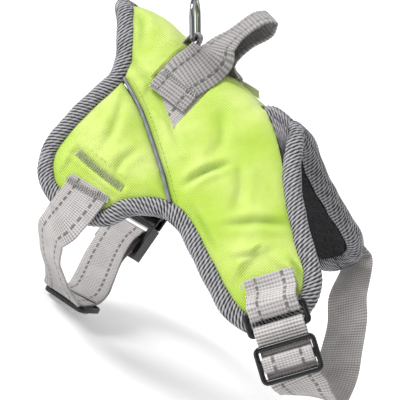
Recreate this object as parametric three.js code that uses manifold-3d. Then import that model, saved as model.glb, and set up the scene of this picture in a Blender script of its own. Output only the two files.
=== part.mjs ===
// A padded saddle harness for a small dog, in the pose it has on the dog's back.
// Millimetres. +X points to the dog's head, +Y to its left, +Z up. The origin is on the ridge of
// the saddle, above the spine, where the neck yoke meets the outer fabric.
// The saddle is drawn flat, as its pattern is cut, in two coordinates: s runs along the spine and t
// is the distance down a flank from the ridge, negative on the right. place() wraps it over the back.

import * as THREE from 'three';
import { mergeVertices } from 'three/addons/utils/BufferGeometryUtils.js';
import Module from 'manifold-3d';

const wasm = await Module();
wasm.setup();

// ---------- driving dimensions ----------

// cross-section of the saddle
const CROWN_RADIUS = 18; // bend over the spine
const FLARE_RIGHT = 24; // degrees that each flank stands out from the vertical
const FLARE_LEFT = 28;
const FLARE_NECK = 51; // the left flank again, where it stands open at the neck
const CROWN_NECK = 26; // and its bend there
const NECK_START = -20; // the left flank opens from here
const NECK_LENGTH = 80; // over this length
const NECK_SWING = 11.4; // and the tip of its chest lobe hangs this much further back
const CURL_START = 60; // distance down the flank where it starts to turn in under the ribs
const CURL_RADIUS_RIGHT = 240;
const CURL_RADIUS_LEFT = 95;
const HUMP_RISE = 4; // low rise of the ridge behind the handle
const HUMP_S = -76;
const HUMP_LENGTH = 22;
const COLLAR_RISE = 2.5; // the neck edge stands up this much at the ridge
const COLLAR_LENGTH = 8;
const RIDGE_HALF = 40; // how far down each flank those two reach

// pattern of the saddle, right half
const TAIL_REACH = 96; // the rear point, behind the origin
const NECK_REACH = 18; // the neck edge on the ridge, in front of the origin
const YOKE_REAR = -1; // where the outer fabric stops on the ridge
const WAIST_S = -66;
const WAIST_T = 42;
const GIRTH_LOBE_S = -44; // middle of the girth lobe
const GIRTH_LOBE_T = 109; // its lowest edge
const GIRTH_LOBE_HALF = 24; // half its width
const LEG_S = 6; // top of the leg opening
const LEG_T = 77.5;
const CHEST_LOBE_S = 66; // lower rear corner of the chest lobe
const CHEST_LOBE_T = 96.5;
const CHEST_TIP_S = 82.5; // its front corner
const CHEST_TIP_T = 75;

// layers, as heights over the wrapped surface; the outer face of the fabric is at 0
const SHELL = 1.0;
const FOAM = 3.6;
const LINING = 0.9;
const GAP = 0.3; // air between touching solids
const BINDING_WIDTH = 8.5;
const BINDING_PROUD = 0.8;
const EDGE_GAP = 0.4; // each side of the seam between a panel and its binding

// webbing and hardware
const WEB_WIDTH = 25;
const WEB_THICK = 1.2;
const PIPING_DIAMETER = 2.6;
const CROSS_WIDTH = WEB_WIDTH + 2;
const CROSS_S = -38.5; // middle of the strap over the ridge, and of the handle
const HANDLE_END_T = 36.5;
const HANDLE_RISE = 39; // top of the handle over the ridge
const D_RING_HEIGHT = 24;
const D_RING_INNER = 17; // inside width, along its bar
const D_WIRE = 3;
const D_RING_LEAN = 34; // degrees that it lies back from the vertical
const D_RING_TURN = 16; // and its bar from square across the spine
const D_TAB_WIDTH = 14;
const SLIDER_RAIL = 2.4; // end rails
const SLIDER_PLAY = 0.6; // from the webbing to each rail
const SLIDER_LENGTH = WEB_WIDTH + 2 * (SLIDER_RAIL + SLIDER_PLAY); // across the webbing
const SLIDER_HEIGHT = 19; // along the webbing
const SLIDER_THICK = 2.6;
const SLIDER_BAR = 4; // middle bar
const SLIDER_EDGE = 2.8; // bars at the two long edges
const RING_PITCH = 10; // between the two bars of the chest ring
const RING_BAR = 3;
const GIRTH_DROP = 151; // lowest run of the girth strap, under the origin
const CHEST_ANGLE = 34.6; // degrees that the chest strap points down from level
const BUCKLE_SIDE = 4; // from the webbing to each side of the buckle
const BUCKLE_WIDTH = WEB_WIDTH + 2 * BUCKLE_SIDE;
const BUCKLE_THICK = 8;
const BUCKLE_FEMALE = 25; // length of the socket half
const BUCKLE_BASE = 22; // length of the plug half outside the socket
const BUCKLE_LEAN = 20; // degrees that the buckle leans out from the vertical
const BUCKLE_RISE = 35; // its webbing bar, above the lowest run of the strap
const BUCKLE_AT = [-43, 46.5, BUCKLE_RISE - GIRTH_DROP]; // middle of that bar
const GIRTH_TILT = 12; // degrees that the girth strap's front edge is raised
const GIRTH_TURN = -13; // and turned from the spine, to the right

const LOW = -(SHELL + 2 * GAP + FOAM + GAP + LINING); // inner face of the lining
const rad = THREE.MathUtils.degToRad;

// ---------- materials ----------

function finish(color, roughness, metalness = 0) {
  return new THREE.MeshStandardMaterial({ color, roughness, metalness });
}
const LIME = finish('#b7e83a', 0.85);
const TAPE = finish('#8d8d93', 0.8);
const MESH = finish('#17181a', 0.95);
const FOAM_GREY = finish('#3a3b3d', 1);
const WEBBING = finish('#a9a6a6', 0.8);
const REFLECTIVE = finish('#73767a', 0.45);
const BLACK = finish('#111214', 0.4);
const CHROME = finish('#c9ccd0', 0.15, 1);
const LABEL = finish('#f2efe9', 0.7);

// ---------- the wrapped surface ----------

const ramp = (x) => THREE.MathUtils.smoothstep(x, 0, 1);
const mix = THREE.MathUtils.lerp;

// Point and outward normal of the cross-section at (s, t), as [y, z, ny, nz].
function section(s, t) {
  const side = t < 0 ? -1 : 1;
  const open = side < 0 ? 0 : ramp((s - NECK_START) / NECK_LENGTH);
  const slope = rad(90 - (side < 0 ? FLARE_RIGHT : mix(FLARE_LEFT, FLARE_NECK, open)));
  const radius = mix(CROWN_RADIUS, CROWN_NECK, open);
  const curl = side < 0 ? CURL_RADIUS_RIGHT : CURL_RADIUS_LEFT;
  const crownEnd = radius * slope;
  const a = Math.abs(t);
  const bent = Math.min(a, crownEnd) / radius;
  let y = radius * Math.sin(bent);
  let z = -radius * (1 - Math.cos(bent));
  const straight = Math.max(0, Math.min(a, CURL_START) - crownEnd);
  y += straight * Math.cos(slope);
  z -= straight * Math.sin(slope);
  const turned = Math.max(0, a - CURL_START) / curl;
  y += curl * (Math.sin(slope + turned) - Math.sin(slope));
  z -= curl * (Math.cos(slope) - Math.cos(slope + turned));
  const angle = a < crownEnd ? bent : slope + turned;
  return [side * y, z, side * Math.sin(angle), Math.cos(angle)];
}

function place(s, t, height = 0) {
  const [y, z, ny, nz] = section(s, t);
  const swing = t > 0 ? NECK_SWING * ramp((t - 20) / 50) * ramp(s / 60) : 0;
  const hump = HUMP_RISE * Math.exp(-(((s - HUMP_S) / HUMP_LENGTH) ** 2));
  const collar = COLLAR_RISE * ramp((s - YOKE_REAR) / COLLAR_LENGTH);
  const rise = (hump + collar) * (1 - ramp(Math.abs(t) / RIDGE_HALF));
  return new THREE.Vector3(s - swing, y + ny * height, z + nz * height + rise);
}

// Unit vector down the flank at (s, t).
function downFlank(s, t) {
  const side = t < 0 ? -1 : 1;
  return place(s, t + side).sub(place(s, t - side)).normalize();
}

// ---------- the pattern ----------

// Right half of the edge, from the rear point down, round both lobes and up to the neck.
const EDGE = [
  [-TAIL_REACH, 0],
  [-TAIL_REACH + 6, 9],
  [-TAIL_REACH + 17, 21],
  [WAIST_S - 4.5, WAIST_T - 11],
  [WAIST_S, WAIST_T],
  [GIRTH_LOBE_S - GIRTH_LOBE_HALF + 0.5, WAIST_T + 19],
  [GIRTH_LOBE_S - GIRTH_LOBE_HALF - 0.5, GIRTH_LOBE_T - 28],
  [GIRTH_LOBE_S - GIRTH_LOBE_HALF + 1, GIRTH_LOBE_T - 13],
  [GIRTH_LOBE_S - GIRTH_LOBE_HALF + 9, GIRTH_LOBE_T - 3],
  [GIRTH_LOBE_S - 3, GIRTH_LOBE_T],
  [GIRTH_LOBE_S + 10, GIRTH_LOBE_T - 2],
  [GIRTH_LOBE_S + 18.5, GIRTH_LOBE_T - 7],
  [GIRTH_LOBE_S + GIRTH_LOBE_HALF - 0.5, GIRTH_LOBE_T - 17],
  [LEG_S - 17, LEG_T + 5.5],
  [LEG_S - 6, LEG_T],
  [LEG_S + 8, LEG_T + 0.5],
  [LEG_S + 24, LEG_T + 7],
  [CHEST_LOBE_S - 20, CHEST_LOBE_T - 5],
  [CHEST_LOBE_S - 6, CHEST_LOBE_T],
  [CHEST_LOBE_S + 5, CHEST_LOBE_T - 1],
  [CHEST_TIP_S - 4, CHEST_TIP_T + 11.5],
  [CHEST_TIP_S, CHEST_TIP_T],
  [CHEST_TIP_S - 4, CHEST_TIP_T - 10],
  [CHEST_TIP_S - 20, CHEST_TIP_T - 22],
  [NECK_REACH + 27, 39],
  [NECK_REACH + 16, 28],
  [NECK_REACH + 7, 14.5],
  [NECK_REACH, 0],
];
// stations on the edge, as indices into EDGE
const AT_WAIST = 4;
const AT_GIRTH_REAR = 8.2;
const AT_GIRTH_END = 9.6;
const AT_GIRTH_FRONT = 11.2;
const AT_LEG = 14;
const AT_CHEST_REAR = 18;
const AT_CHEST_END = 20;
const AT_YOKE = 25;
const AT_NECK = EDGE.length - 1;

const loop = new THREE.CatmullRomCurve3(
  [
    ...EDGE.map(([s, t]) => new THREE.Vector3(s, -t, 0)),
    ...EDGE.slice(1, -1).reverse().map(([s, t]) => new THREE.Vector3(s, t, 0)),
  ],
  true,
);
const STATIONS = 2 * AT_NECK;

// Point of the edge at a station, moved outwards by out; negative stations run up the left side.
function edge(station, out = 0) {
  const u = (((station / STATIONS) % 1) + 1) % 1;
  const p = loop.getPoint(u);
  const d = loop.getTangent(u);
  return new THREE.Vector2(p.x + d.y * out, p.y - d.x * out);
}

function edgeRun(from, to, out, steps) {
  const points = [];
  for (let i = 0; i <= steps; i += 1) points.push(edge(from + ((to - from) * i) / steps, out));
  return points;
}

// A curve through flat points, as a function of its share of length.
function track(points) {
  const curve = new THREE.CatmullRomCurve3(
    points.map((p) => new THREE.Vector3(p.x, p.y, 0)),
    false,
    'centripetal',
  );
  return (u) => {
    const p = curve.getPointAt(u);
    return new THREE.Vector2(p.x, p.y);
  };
}

// ---------- closed bodies ----------

function body(positions, index) {
  const geometry = new THREE.BufferGeometry();
  geometry.setAttribute('position', new THREE.Float32BufferAttribute(positions, 3));
  let volume = 0;
  const v = (i) => new THREE.Vector3().fromArray(positions, 3 * i);
  for (let i = 0; i < index.length; i += 3) {
    volume += v(index[i]).dot(v(index[i + 1]).cross(v(index[i + 2])));
  }
  const faces = volume > 0 ? index : [...index].reverse();
  geometry.setIndex(faces);
  return geometry;
}

function quad(index, a, b, c, d) {
  index.push(a, b, c, a, c, d);
}

// A slab over the four-sided flat patch between four tracks, from height low to height high.
function patch({ rear, front, right, left }, low, high, along, across) {
  const corner = [right(0), right(1), left(0), left(1)];
  const flat = (u, v) => {
    const p = right(u).multiplyScalar(1 - v).addScaledVector(left(u), v);
    p.addScaledVector(rear(v), 1 - u).addScaledVector(front(v), u);
    p.addScaledVector(corner[0], -(1 - u) * (1 - v)).addScaledVector(corner[1], -u * (1 - v));
    return p.addScaledVector(corner[2], -(1 - u) * v).addScaledVector(corner[3], -u * v);
  };
  const positions = [];
  const index = [];
  const rows = across + 1;
  for (const height of [low, high]) {
    for (let i = 0; i <= along; i += 1) {
      for (let j = 0; j <= across; j += 1) {
        const p = flat(i / along, j / across);
        positions.push(...place(p.x, p.y, height));
      }
    }
  }
  const at = (layer, i, j) => layer * (along + 1) * rows + i * rows + j;
  for (let i = 0; i < along; i += 1) {
    for (let j = 0; j < across; j += 1) {
      quad(index, at(1, i, j), at(1, i + 1, j), at(1, i + 1, j + 1), at(1, i, j + 1));
      quad(index, at(0, i, j), at(0, i, j + 1), at(0, i + 1, j + 1), at(0, i + 1, j));
    }
  }
  for (let i = 0; i < along; i += 1) {
    quad(index, at(0, i, 0), at(0, i + 1, 0), at(1, i + 1, 0), at(1, i, 0));
    quad(index, at(1, i, across), at(1, i + 1, across), at(0, i + 1, across), at(0, i, across));
  }
  for (let j = 0; j < across; j += 1) {
    quad(index, at(1, 0, j), at(1, 0, j + 1), at(0, 0, j + 1), at(0, 0, j));
    quad(index, at(0, along, j), at(0, along, j + 1), at(1, along, j + 1), at(1, along, j));
  }
  return body(positions, index);
}

// A flat band through rows of { p, w }: its middle line and the direction of its width.
function band(rows, width, thick, perSpan = 3) {
  const curve = new THREE.CatmullRomCurve3(rows.map((r) => r.p), false, 'centripetal');
  const spans = rows.length - 1;
  const steps = spans * perSpan;
  const positions = [];
  const index = [];
  for (let i = 0; i <= steps; i += 1) {
    const k = Math.min(Math.floor(i / perSpan), spans - 1);
    const centre = curve.getPoint(i / steps);
    const forward = curve.getTangent(i / steps);
    const across = rows[k].w.clone().lerp(rows[k + 1].w, i / perSpan - k);
    across.addScaledVector(forward, -across.dot(forward)).normalize();
    const out = forward.clone().cross(across);
    for (const [a, b] of [[-1, -1], [1, -1], [1, 1], [-1, 1]]) {
      const p = centre.clone().addScaledVector(across, (a * width) / 2);
      positions.push(...p.addScaledVector(out, (b * thick) / 2));
    }
  }
  for (let i = 0; i < steps; i += 1) {
    for (let j = 0; j < 4; j += 1) {
      const n = (j + 1) % 4;
      quad(index, 4 * i + j, 4 * i + n, 4 * i + 4 + n, 4 * i + 4 + j);
    }
  }
  quad(index, 3, 2, 1, 0);
  const last = 4 * steps;
  quad(index, last, last + 1, last + 2, last + 3);
  return body(positions, index);
}

const X_AXIS = new THREE.Vector3(1, 0, 0);

// Row of a band in mid-air: its width turned about the vertical, then tilted up at the front.
function hang(x, y, z, turn, tilt = 0) {
  const w = new THREE.Vector3(Math.cos(rad(turn)), Math.sin(rad(turn)), Math.tan(rad(tilt)));
  return { p: new THREE.Vector3(x, y, z), w: w.normalize() };
}

function solid(geometry) {
  const bare = geometry.clone();
  bare.deleteAttribute('normal');
  bare.deleteAttribute('uv');
  const merged = mergeVertices(bare, 1e-4);
  return new wasm.Manifold(
    new wasm.Mesh({
      numProp: 3,
      vertProperties: new Float32Array(merged.attributes.position.array),
      triVerts: new Uint32Array(merged.index.array),
    }),
  );
}

function shape(manifold) {
  const mesh = manifold.getMesh();
  const geometry = new THREE.BufferGeometry();
  geometry.setAttribute('position', new THREE.BufferAttribute(mesh.vertProperties, 3));
  geometry.setIndex(new THREE.BufferAttribute(mesh.triVerts, 1));
  return geometry;
}

const SLIVER = 0.01; // edges shorter than this are closed up after a join
const joined = (...parts) =>
  shape(parts.map(solid).reduce((a, b) => a.add(b)).simplify(SLIVER));
const cut = (base, ...tools) => shape(tools.map(solid).reduce((a, b) => a.subtract(b), solid(base)));

function box(x0, x1, y0, y1, z0, z1) {
  const geometry = new THREE.BoxGeometry(x1 - x0, y1 - y0, z1 - z0);
  return geometry.translate((x0 + x1) / 2, (y0 + y1) / 2, (z0 + z1) / 2);
}

// Outline of a rectangle with round corners, centred on the origin.
function roundRect(width, height, radius, Kind = THREE.Shape) {
  const x = width / 2;
  const y = height / 2;
  const outline = new Kind();
  outline.moveTo(-x + radius, -y);
  outline.lineTo(x - radius, -y);
  outline.absarc(x - radius, -y + radius, radius, -Math.PI / 2, 0);
  outline.lineTo(x, y - radius);
  outline.absarc(x - radius, y - radius, radius, 0, Math.PI / 2);
  outline.lineTo(-x + radius, y);
  outline.absarc(-x + radius, y - radius, radius, Math.PI / 2, Math.PI);
  outline.lineTo(-x, -y + radius);
  outline.absarc(-x + radius, -y + radius, radius, Math.PI, 1.5 * Math.PI);
  return outline;
}

function plate(outline, thick, curveSegments = 4) {
  const geometry = new THREE.ExtrudeGeometry(outline, {
    depth: thick,
    bevelEnabled: false,
    curveSegments,
  });
  return geometry.translate(0, 0, -thick / 2);
}

// ---------- the object ----------

const harness = new THREE.Group();

function add(name, geometry, material) {
  const mesh = new THREE.Mesh(geometry, material);
  mesh.name = name;
  harness.add(mesh);
  return mesh;
}

// ---------- saddle layers ----------

const SIDES = [['right', -1], ['left', 1]];
const flat = (s, t) => new THREE.Vector2(s, t);

// line of the piping, from the waist to the top of the leg opening
const PIPING = [
  [WAIST_S + 1, WAIST_T - 1],
  [WAIST_S + 18, WAIST_T + 6],
  [WAIST_S + 36, WAIST_T + 16],
  [LEG_S - 19, LEG_T - 9],
  [LEG_S - 6, LEG_T],
];

// The piping line of one side, moved down the flank by drop.
function pipingRun(side, drop) {
  return PIPING.map(([s, t]) => flat(s - drop * 0.5, side * (t + drop * 0.86)));
}

function mirrored(points) {
  return points.map((p) => flat(p.x, -p.y));
}

const seam = PIPING_DIAMETER / 2 + 2 * GAP;
const steps = 12;

function lowerRight(drop) {
  const leg = edgeRun(AT_LEG + 0.4, AT_CHEST_REAR, -EDGE_GAP, 5);
  const piping = pipingRun(-1, drop);
  return [edge(AT_WAIST - 0.4, -EDGE_GAP), ...piping.slice(1, -1), ...leg];
}

function mainPatch(drop, frontRight) {
  const right = lowerRight(drop);
  const rear = edgeRun(AT_WAIST - 0.4, -AT_WAIST + 0.4, -EDGE_GAP, steps);
  const front = [...frontRight, ...mirrored(frontRight).reverse().slice(1)];
  return {
    rear: track(rear),
    front: track(front),
    right: track(right),
    left: track(mirrored(right)),
  };
}

const PAD_GAP = 1; // from the padding to its binding
const chestEnd = edgeRun(AT_CHEST_REAR, AT_YOKE, -EDGE_GAP, 10);
const yokeRear = [flat(YOKE_REAR + 20.5, -17.5), flat(YOKE_REAR + 6, -7.5), flat(YOKE_REAR, 0)];
const skinFront = [...chestEnd, ...yokeRear];
const padFront = edgeRun(AT_CHEST_REAR, AT_NECK, -PAD_GAP, 18);

const CELL = 6; // length of the outer fabric's faces along the spine
const skinSteps = Math.ceil(TAIL_REACH / CELL);
add('saddle_panel', patch(mainPatch(-seam, skinFront), -SHELL, 0, skinSteps, 20), LIME);

function girthPatch(side, drop) {
  const sign = -side;
  const turn = (points) => points.map((p) => flat(p.x, p.y * sign));
  const top = [
    edge(AT_WAIST + 0.15, -EDGE_GAP),
    ...pipingRun(-1, drop).slice(1, -1),
    edge(AT_LEG - 0.3, -EDGE_GAP),
  ];
  return {
    rear: track(turn(edgeRun(AT_WAIST + 0.15, AT_GIRTH_REAR, -EDGE_GAP, 6))),
    front: track(turn(edgeRun(AT_LEG - 0.3, AT_GIRTH_FRONT, -EDGE_GAP, 5))),
    right: track(turn(top)),
    left: track(turn(edgeRun(AT_GIRTH_REAR, AT_GIRTH_FRONT, -EDGE_GAP, 5))),
  };
}

for (const [name, side] of SIDES) {
  add(`girth_panel_${name}`, patch(girthPatch(side, seam), -SHELL, 0, 7, 7), LIME);
}

// The padding and the lining are each cut in one piece, under all the outer panels.
const OVERLAP = 2; // of the three patches that are joined into one layer
const PAD_CELL = 8.8; // length of that layer's faces along the spine
const padSteps = Math.ceil((TAIL_REACH + NECK_REACH) / PAD_CELL);
function layer(low, high) {
  const lobes = SIDES.map(([, side]) => patch(girthPatch(side, -OVERLAP), low, high, 5, 6));
  return joined(patch(mainPatch(OVERLAP, padFront), low, high, padSteps, 20), ...lobes);
}

const foamHigh = -SHELL - 2 * GAP;
const foamLow = foamHigh - FOAM;
add('saddle_foam', layer(foamLow, foamHigh), FOAM_GREY);
add('mesh_lining', layer(LOW, LOW + LINING), MESH);

// ribbed piece between the outer fabric and the neck binding
const yokeGap = 1.6;
function yokePatch() {
  const rear = [edge(AT_YOKE + 0.45, -EDGE_GAP - 0.3), ...yokeRear.map((p) => flat(p.x + yokeGap, p.y))];
  const front = edgeRun(AT_YOKE + 0.5, AT_NECK, -EDGE_GAP, 5);
  const both = (half) => track([...half, ...mirrored(half).reverse().slice(1)]);
  return {
    rear: both(rear),
    front: both(front),
    right: track([rear[0], front[0]]),
    left: track(mirrored([rear[0], front[0]])),
  };
}
add('neck_yoke', patch(yokePatch(), -SHELL, 0, 3, 16), TAPE);

// ---------- binding tape round the edge ----------

const CUT = 0.04; // share of a station left open between two lengths of tape
function binding(from, to, count) {
  const inner = track(edgeRun(from + CUT, to - CUT, EDGE_GAP, count));
  const outer = track(edgeRun(from + CUT, to - CUT, BINDING_WIDTH, count));
  const ends = (a, b) => track([a, b]);
  return patch(
    { rear: inner, front: outer, right: ends(inner(0), outer(0)), left: ends(inner(1), outer(1)) },
    LOW - BINDING_PROUD,
    BINDING_PROUD,
    2,
    count,
  );
}
add('rear_binding', binding(-AT_GIRTH_END, AT_GIRTH_END, 48), TAPE);
add('leg_binding_right', binding(AT_GIRTH_END, AT_CHEST_END, 30), TAPE);
add('neck_binding', binding(AT_CHEST_END, STATIONS - AT_CHEST_END, 40), TAPE);
add('leg_binding_left', binding(STATIONS - AT_CHEST_END, STATIONS - AT_GIRTH_END, 30), TAPE);

// ---------- reflective piping in the seam of each flank ----------

const PIPING_STEPS = 8;
const PIPING_TRIM = 0.03; // share of its length left free at each end
for (const [name, side] of SIDES) {
  const line = track(pipingRun(side, 0));
  const points = [];
  for (let i = 0; i <= PIPING_STEPS; i += 1) {
    const p = line(mix(PIPING_TRIM, 1 - PIPING_TRIM, i / PIPING_STEPS));
    points.push(place(p.x, p.y, GAP));
  }
  const round = new THREE.Shape().absarc(0, 0, PIPING_DIAMETER / 2, 0, 2 * Math.PI);
  const tube = new THREE.ExtrudeGeometry(round, {
    extrudePath: new THREE.CatmullRomCurve3(points),
    steps: 2 * PIPING_STEPS,
    curveSegments: 4,
  });
  add(`piping_${name}`, tube, REFLECTIVE);
}

// ---------- webbing over the ridge: cross strap, handle, ring tab, label ----------

const crossHalf = CROSS_WIDTH / 2;
const crossEnds = { rear: 31, front: 46 }; // how far its slanted ends reach down the flank
function crossPatch() {
  const corner = (s, t) => flat(CROSS_S + s * crossHalf, t);
  const line = (a, b) => track([a, b]);
  return {
    rear: line(corner(-1, -crossEnds.rear), corner(-1, crossEnds.rear)),
    front: line(corner(1, -crossEnds.front), corner(1, crossEnds.front)),
    right: line(corner(-1, -crossEnds.rear), corner(1, -crossEnds.front)),
    left: line(corner(-1, crossEnds.rear), corner(1, crossEnds.front)),
  };
}
add('cross_strap', patch(crossPatch(), GAP, GAP + WEB_THICK, 2, 22), WEBBING);
const crossTop = GAP + WEB_THICK + GAP;

// The handle leaves each flank flat on the cross strap, twists upright over the ridge and loops.
const overCross = GAP + WEB_THICK + GAP + WEB_THICK / 2;
const onFlank = (t, extra = 0) => ({ p: place(CROSS_S, t, overCross + extra), w: X_AXIS.clone() });
const handleRows = [
  onFlank(-HANDLE_END_T),
  onFlank(-HANDLE_END_T + 7, 0.3),
  onFlank(-HANDLE_END_T + 14, 1.2),
  hang(CROSS_S + 1, -17, 2, -8),
  hang(CROSS_S + 2, -12, 5.6, -26),
  hang(CROSS_S + 1, -7, 12, -52),
  hang(CROSS_S + 5, -3, 24, -52),
  hang(CROSS_S + 9, 1, HANDLE_RISE - 3, -52),
  hang(CROSS_S + 13, 5, HANDLE_RISE, -52),
  hang(CROSS_S + 14.5, 6.5, HANDLE_RISE - 6, -52),
  hang(CROSS_S + 10, 3, 23, -50),
  hang(CROSS_S + 6.5, 1, 14, -42),
  hang(CROSS_S + 5, 6, 7.5, -30),
  hang(CROSS_S + 4, 13, 4, -18),
  hang(CROSS_S + 1.5, 20, 0, -8),
  onFlank(HANDLE_END_T - 10, 1.2),
  onFlank(HANDLE_END_T - 5, 0.3),
  onFlank(HANDLE_END_T),
];
add('handle', band(handleRows, WEB_WIDTH, WEB_THICK), WEBBING);

// Tab that holds the ring: webbing looped round the bar, its foot shaped to the crown.
const tabX = CROSS_S - crossHalf - 1.5; // the bar of the ring
const tabZ = 7;
const tabInner = D_WIRE / 2 + 2 * GAP;
const tabOuter = tabInner + WEB_THICK;
const turned = (geometry) =>
  geometry.translate(-tabX, 0, 0).rotateZ(rad(D_RING_TURN)).translate(tabX, 0, 0);
function ringTab() {
  const outline = new THREE.Shape();
  outline.moveTo(tabX - tabOuter - 3, -8);
  outline.lineTo(tabX - tabOuter - 3, 0.9);
  outline.quadraticCurveTo(tabX - tabOuter, 1, tabX - tabOuter, tabZ);
  outline.absarc(tabX, tabZ, tabOuter, Math.PI, 0, true);
  outline.quadraticCurveTo(tabX + tabOuter, 1, tabX + tabOuter - 0.3, 0.9);
  outline.lineTo(tabX + tabOuter - 0.3, -8);
  outline.closePath();
  const hole = new THREE.Path().absarc(tabX, tabZ, tabInner, 0, 2 * Math.PI);
  outline.holes.push(hole);
  const block = turned(plate(outline, D_TAB_WIDTH, 8).rotateX(Math.PI / 2));
  const line = (a, b) => track([a, b]);
  const reach = 30;
  const under = {
    rear: line(flat(tabX - reach, -reach), flat(tabX - reach, reach)),
    front: line(flat(tabX + reach, -reach), flat(tabX + reach, reach)),
    right: line(flat(tabX - reach, -reach), flat(tabX + reach, -reach)),
    left: line(flat(tabX - reach, reach), flat(tabX + reach, reach)),
  };
  return cut(block, patch(under, -14, GAP, 12, 24), patch(crossPatch(), -14, crossTop, 2, 22));
}
add('d_ring_tab', ringTab(), WEBBING);

function dRing() {
  const half = D_RING_INNER / 2 + D_WIRE;
  const bow = D_RING_HEIGHT - D_WIRE / 2;
  const ring = (inset, Kind) => {
    const x = half - inset;
    const top = bow - inset;
    const outline = new Kind();
    outline.moveTo(-x, -D_WIRE / 2 + inset);
    outline.lineTo(x, -D_WIRE / 2 + inset);
    outline.lineTo(x, top - x);
    outline.absarc(0, top - x, x, 0, Math.PI);
    outline.lineTo(-x, -D_WIRE / 2 + inset);
    return outline;
  };
  const bevel = 0.8;
  const outline = ring(bevel, THREE.Shape);
  outline.holes.push(ring(D_WIRE - bevel, THREE.Path));
  const geometry = new THREE.ExtrudeGeometry(outline, {
    depth: D_WIRE - 2 * bevel,
    bevelThickness: bevel,
    bevelSize: bevel,
    bevelSegments: 1,
    curveSegments: 8,
  });
  geometry.translate(0, 0, bevel - D_WIRE / 2);
  geometry.rotateX(Math.PI / 2).rotateZ(Math.PI / 2);
  geometry.rotateY(-rad(D_RING_LEAN));
  return turned(geometry.translate(tabX, 0, tabZ));
}
add('d_ring', dRing(), CHROME);

const LABEL_SIZE = [11, 9];
const labelRows = [-1, 0, 1].map((k) => ({
  p: place(YOKE_REAR - 11 + (k * LABEL_SIZE[0]) / 2, 10, 1.6),
  w: place(0, 11, 0).sub(place(0, 9, 0)).normalize(),
}));
add('size_label', band(labelRows, LABEL_SIZE[1], 0.5), LABEL);

// ---------- a plane of straps: local x across the webbing, y along it, z outwards ----------

function local(origin, across, along) {
  const out = across.clone().cross(along);
  const matrix = new THREE.Matrix4().makeBasis(across, along, out).setPosition(origin);
  return matrix;
}

// Slider frame: a plate with two slots, its middle bar on local x.
function sliderPlate() {
  const outline = roundRect(SLIDER_LENGTH, SLIDER_HEIGHT, 3);
  const slot = (SLIDER_HEIGHT - SLIDER_BAR) / 2 - SLIDER_EDGE;
  for (const side of [-1, 1]) {
    const hole = roundRect(SLIDER_LENGTH - 2 * SLIDER_RAIL, slot, 0.6, THREE.Path);
    const middle = (side * (SLIDER_BAR + slot)) / 2;
    const points = hole.getPoints(3).map((p) => flat(p.x, p.y + middle));
    outline.holes.push(new THREE.Path(points));
  }
  return plate(outline, SLIDER_THICK);
}

// Webbing that crosses over the middle bar of a slider, and ends in its two slots.
function sliderWrap() {
  const foot = SLIDER_BAR / 2 + 2 * GAP + WEB_THICK / 2;
  const top = SLIDER_THICK / 2 + 2 * GAP + WEB_THICK / 2;
  const across = X_AXIS;
  const rows = [
    [-foot - 0.2, -SLIDER_THICK / 2 + 0.2],
    [-foot, 0.4],
    [-foot + 0.5, top],
    [0, top + 0.4],
    [foot - 0.5, top],
    [foot, 0.4],
    [foot + 0.2, -SLIDER_THICK / 2 + 0.2],
  ].map(([y, z]) => ({ p: new THREE.Vector3(0, y, z), w: across.clone() }));
  return band(rows, WEB_WIDTH, WEB_THICK, 2);
}

// ---------- chest loop ----------

const chestDown = rad(CHEST_ANGLE);
const RING_S = CHEST_TIP_S - 5;
const RING_T = -(CHEST_LOBE_T - 10.5);
const chestAcross = X_AXIS.clone().multiplyScalar(Math.sin(chestDown));
chestAcross.addScaledVector(downFlank(RING_S, RING_T), -Math.cos(chestDown)).normalize();
const chestAlong = new THREE.Vector3(chestAcross.z, 0, -chestAcross.x).normalize();
const ringCentre = place(RING_S, RING_T, 6.8);
const chest = local(ringCentre, chestAcross.clone().negate(), chestAlong);
const inChest = (x, y, z) => new THREE.Vector3(x, y, z).applyMatrix4(chest);
const wrapRadius = RING_BAR / 2 + 4 * GAP + WEB_THICK / 2;

// side view of a fold round a bar at y = bar, coming from direction from (-1 behind, 1 ahead)
function fold(bar, from) {
  const turns = [-0.5, -0.25, 0, 0.25, 0.5];
  return turns.map((k) => [
    bar - from * wrapRadius * Math.cos(k * Math.PI),
    wrapRadius * Math.sin(k * Math.PI),
  ]);
}
const rowsInChest = (profile) =>
  profile.map(([y, z]) => ({ p: inChest(0, y, z), w: chestAcross.clone() }));

// tab: sewn to the lobe, folded round the upper bar of the ring
const tabLow = place(CHEST_TIP_S - 14, RING_T + 6, 1.6);
const tabTopStart = place(CHEST_LOBE_S - 2.5, RING_T + 11, 3.2);
const tabRows = [
  { p: tabTopStart, w: chestAcross.clone() },
  { p: place(CHEST_LOBE_S + 4, RING_T + 6.5, 3.9), w: chestAcross.clone() },
  ...rowsInChest([[-4, wrapRadius], ...fold(0, -1).reverse(), [-4, -wrapRadius]]),
  { p: tabLow, w: chestAcross.clone() },
];
add('chest_ring_tab', band(tabRows, WEB_WIDTH, WEB_THICK, 2), WEBBING);

function ringPlate() {
  const outer = roundRect(WEB_WIDTH + 7, RING_PITCH + RING_BAR, 2.5);
  const hole = roundRect(WEB_WIDTH + 1.4, RING_PITCH - RING_BAR, 0.8, THREE.Path);
  outer.holes.push(hole);
  return plate(outer, RING_BAR).translate(0, RING_PITCH / 2, 0);
}
add('chest_ring', ringPlate().applyMatrix4(chest), BLACK);

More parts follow.
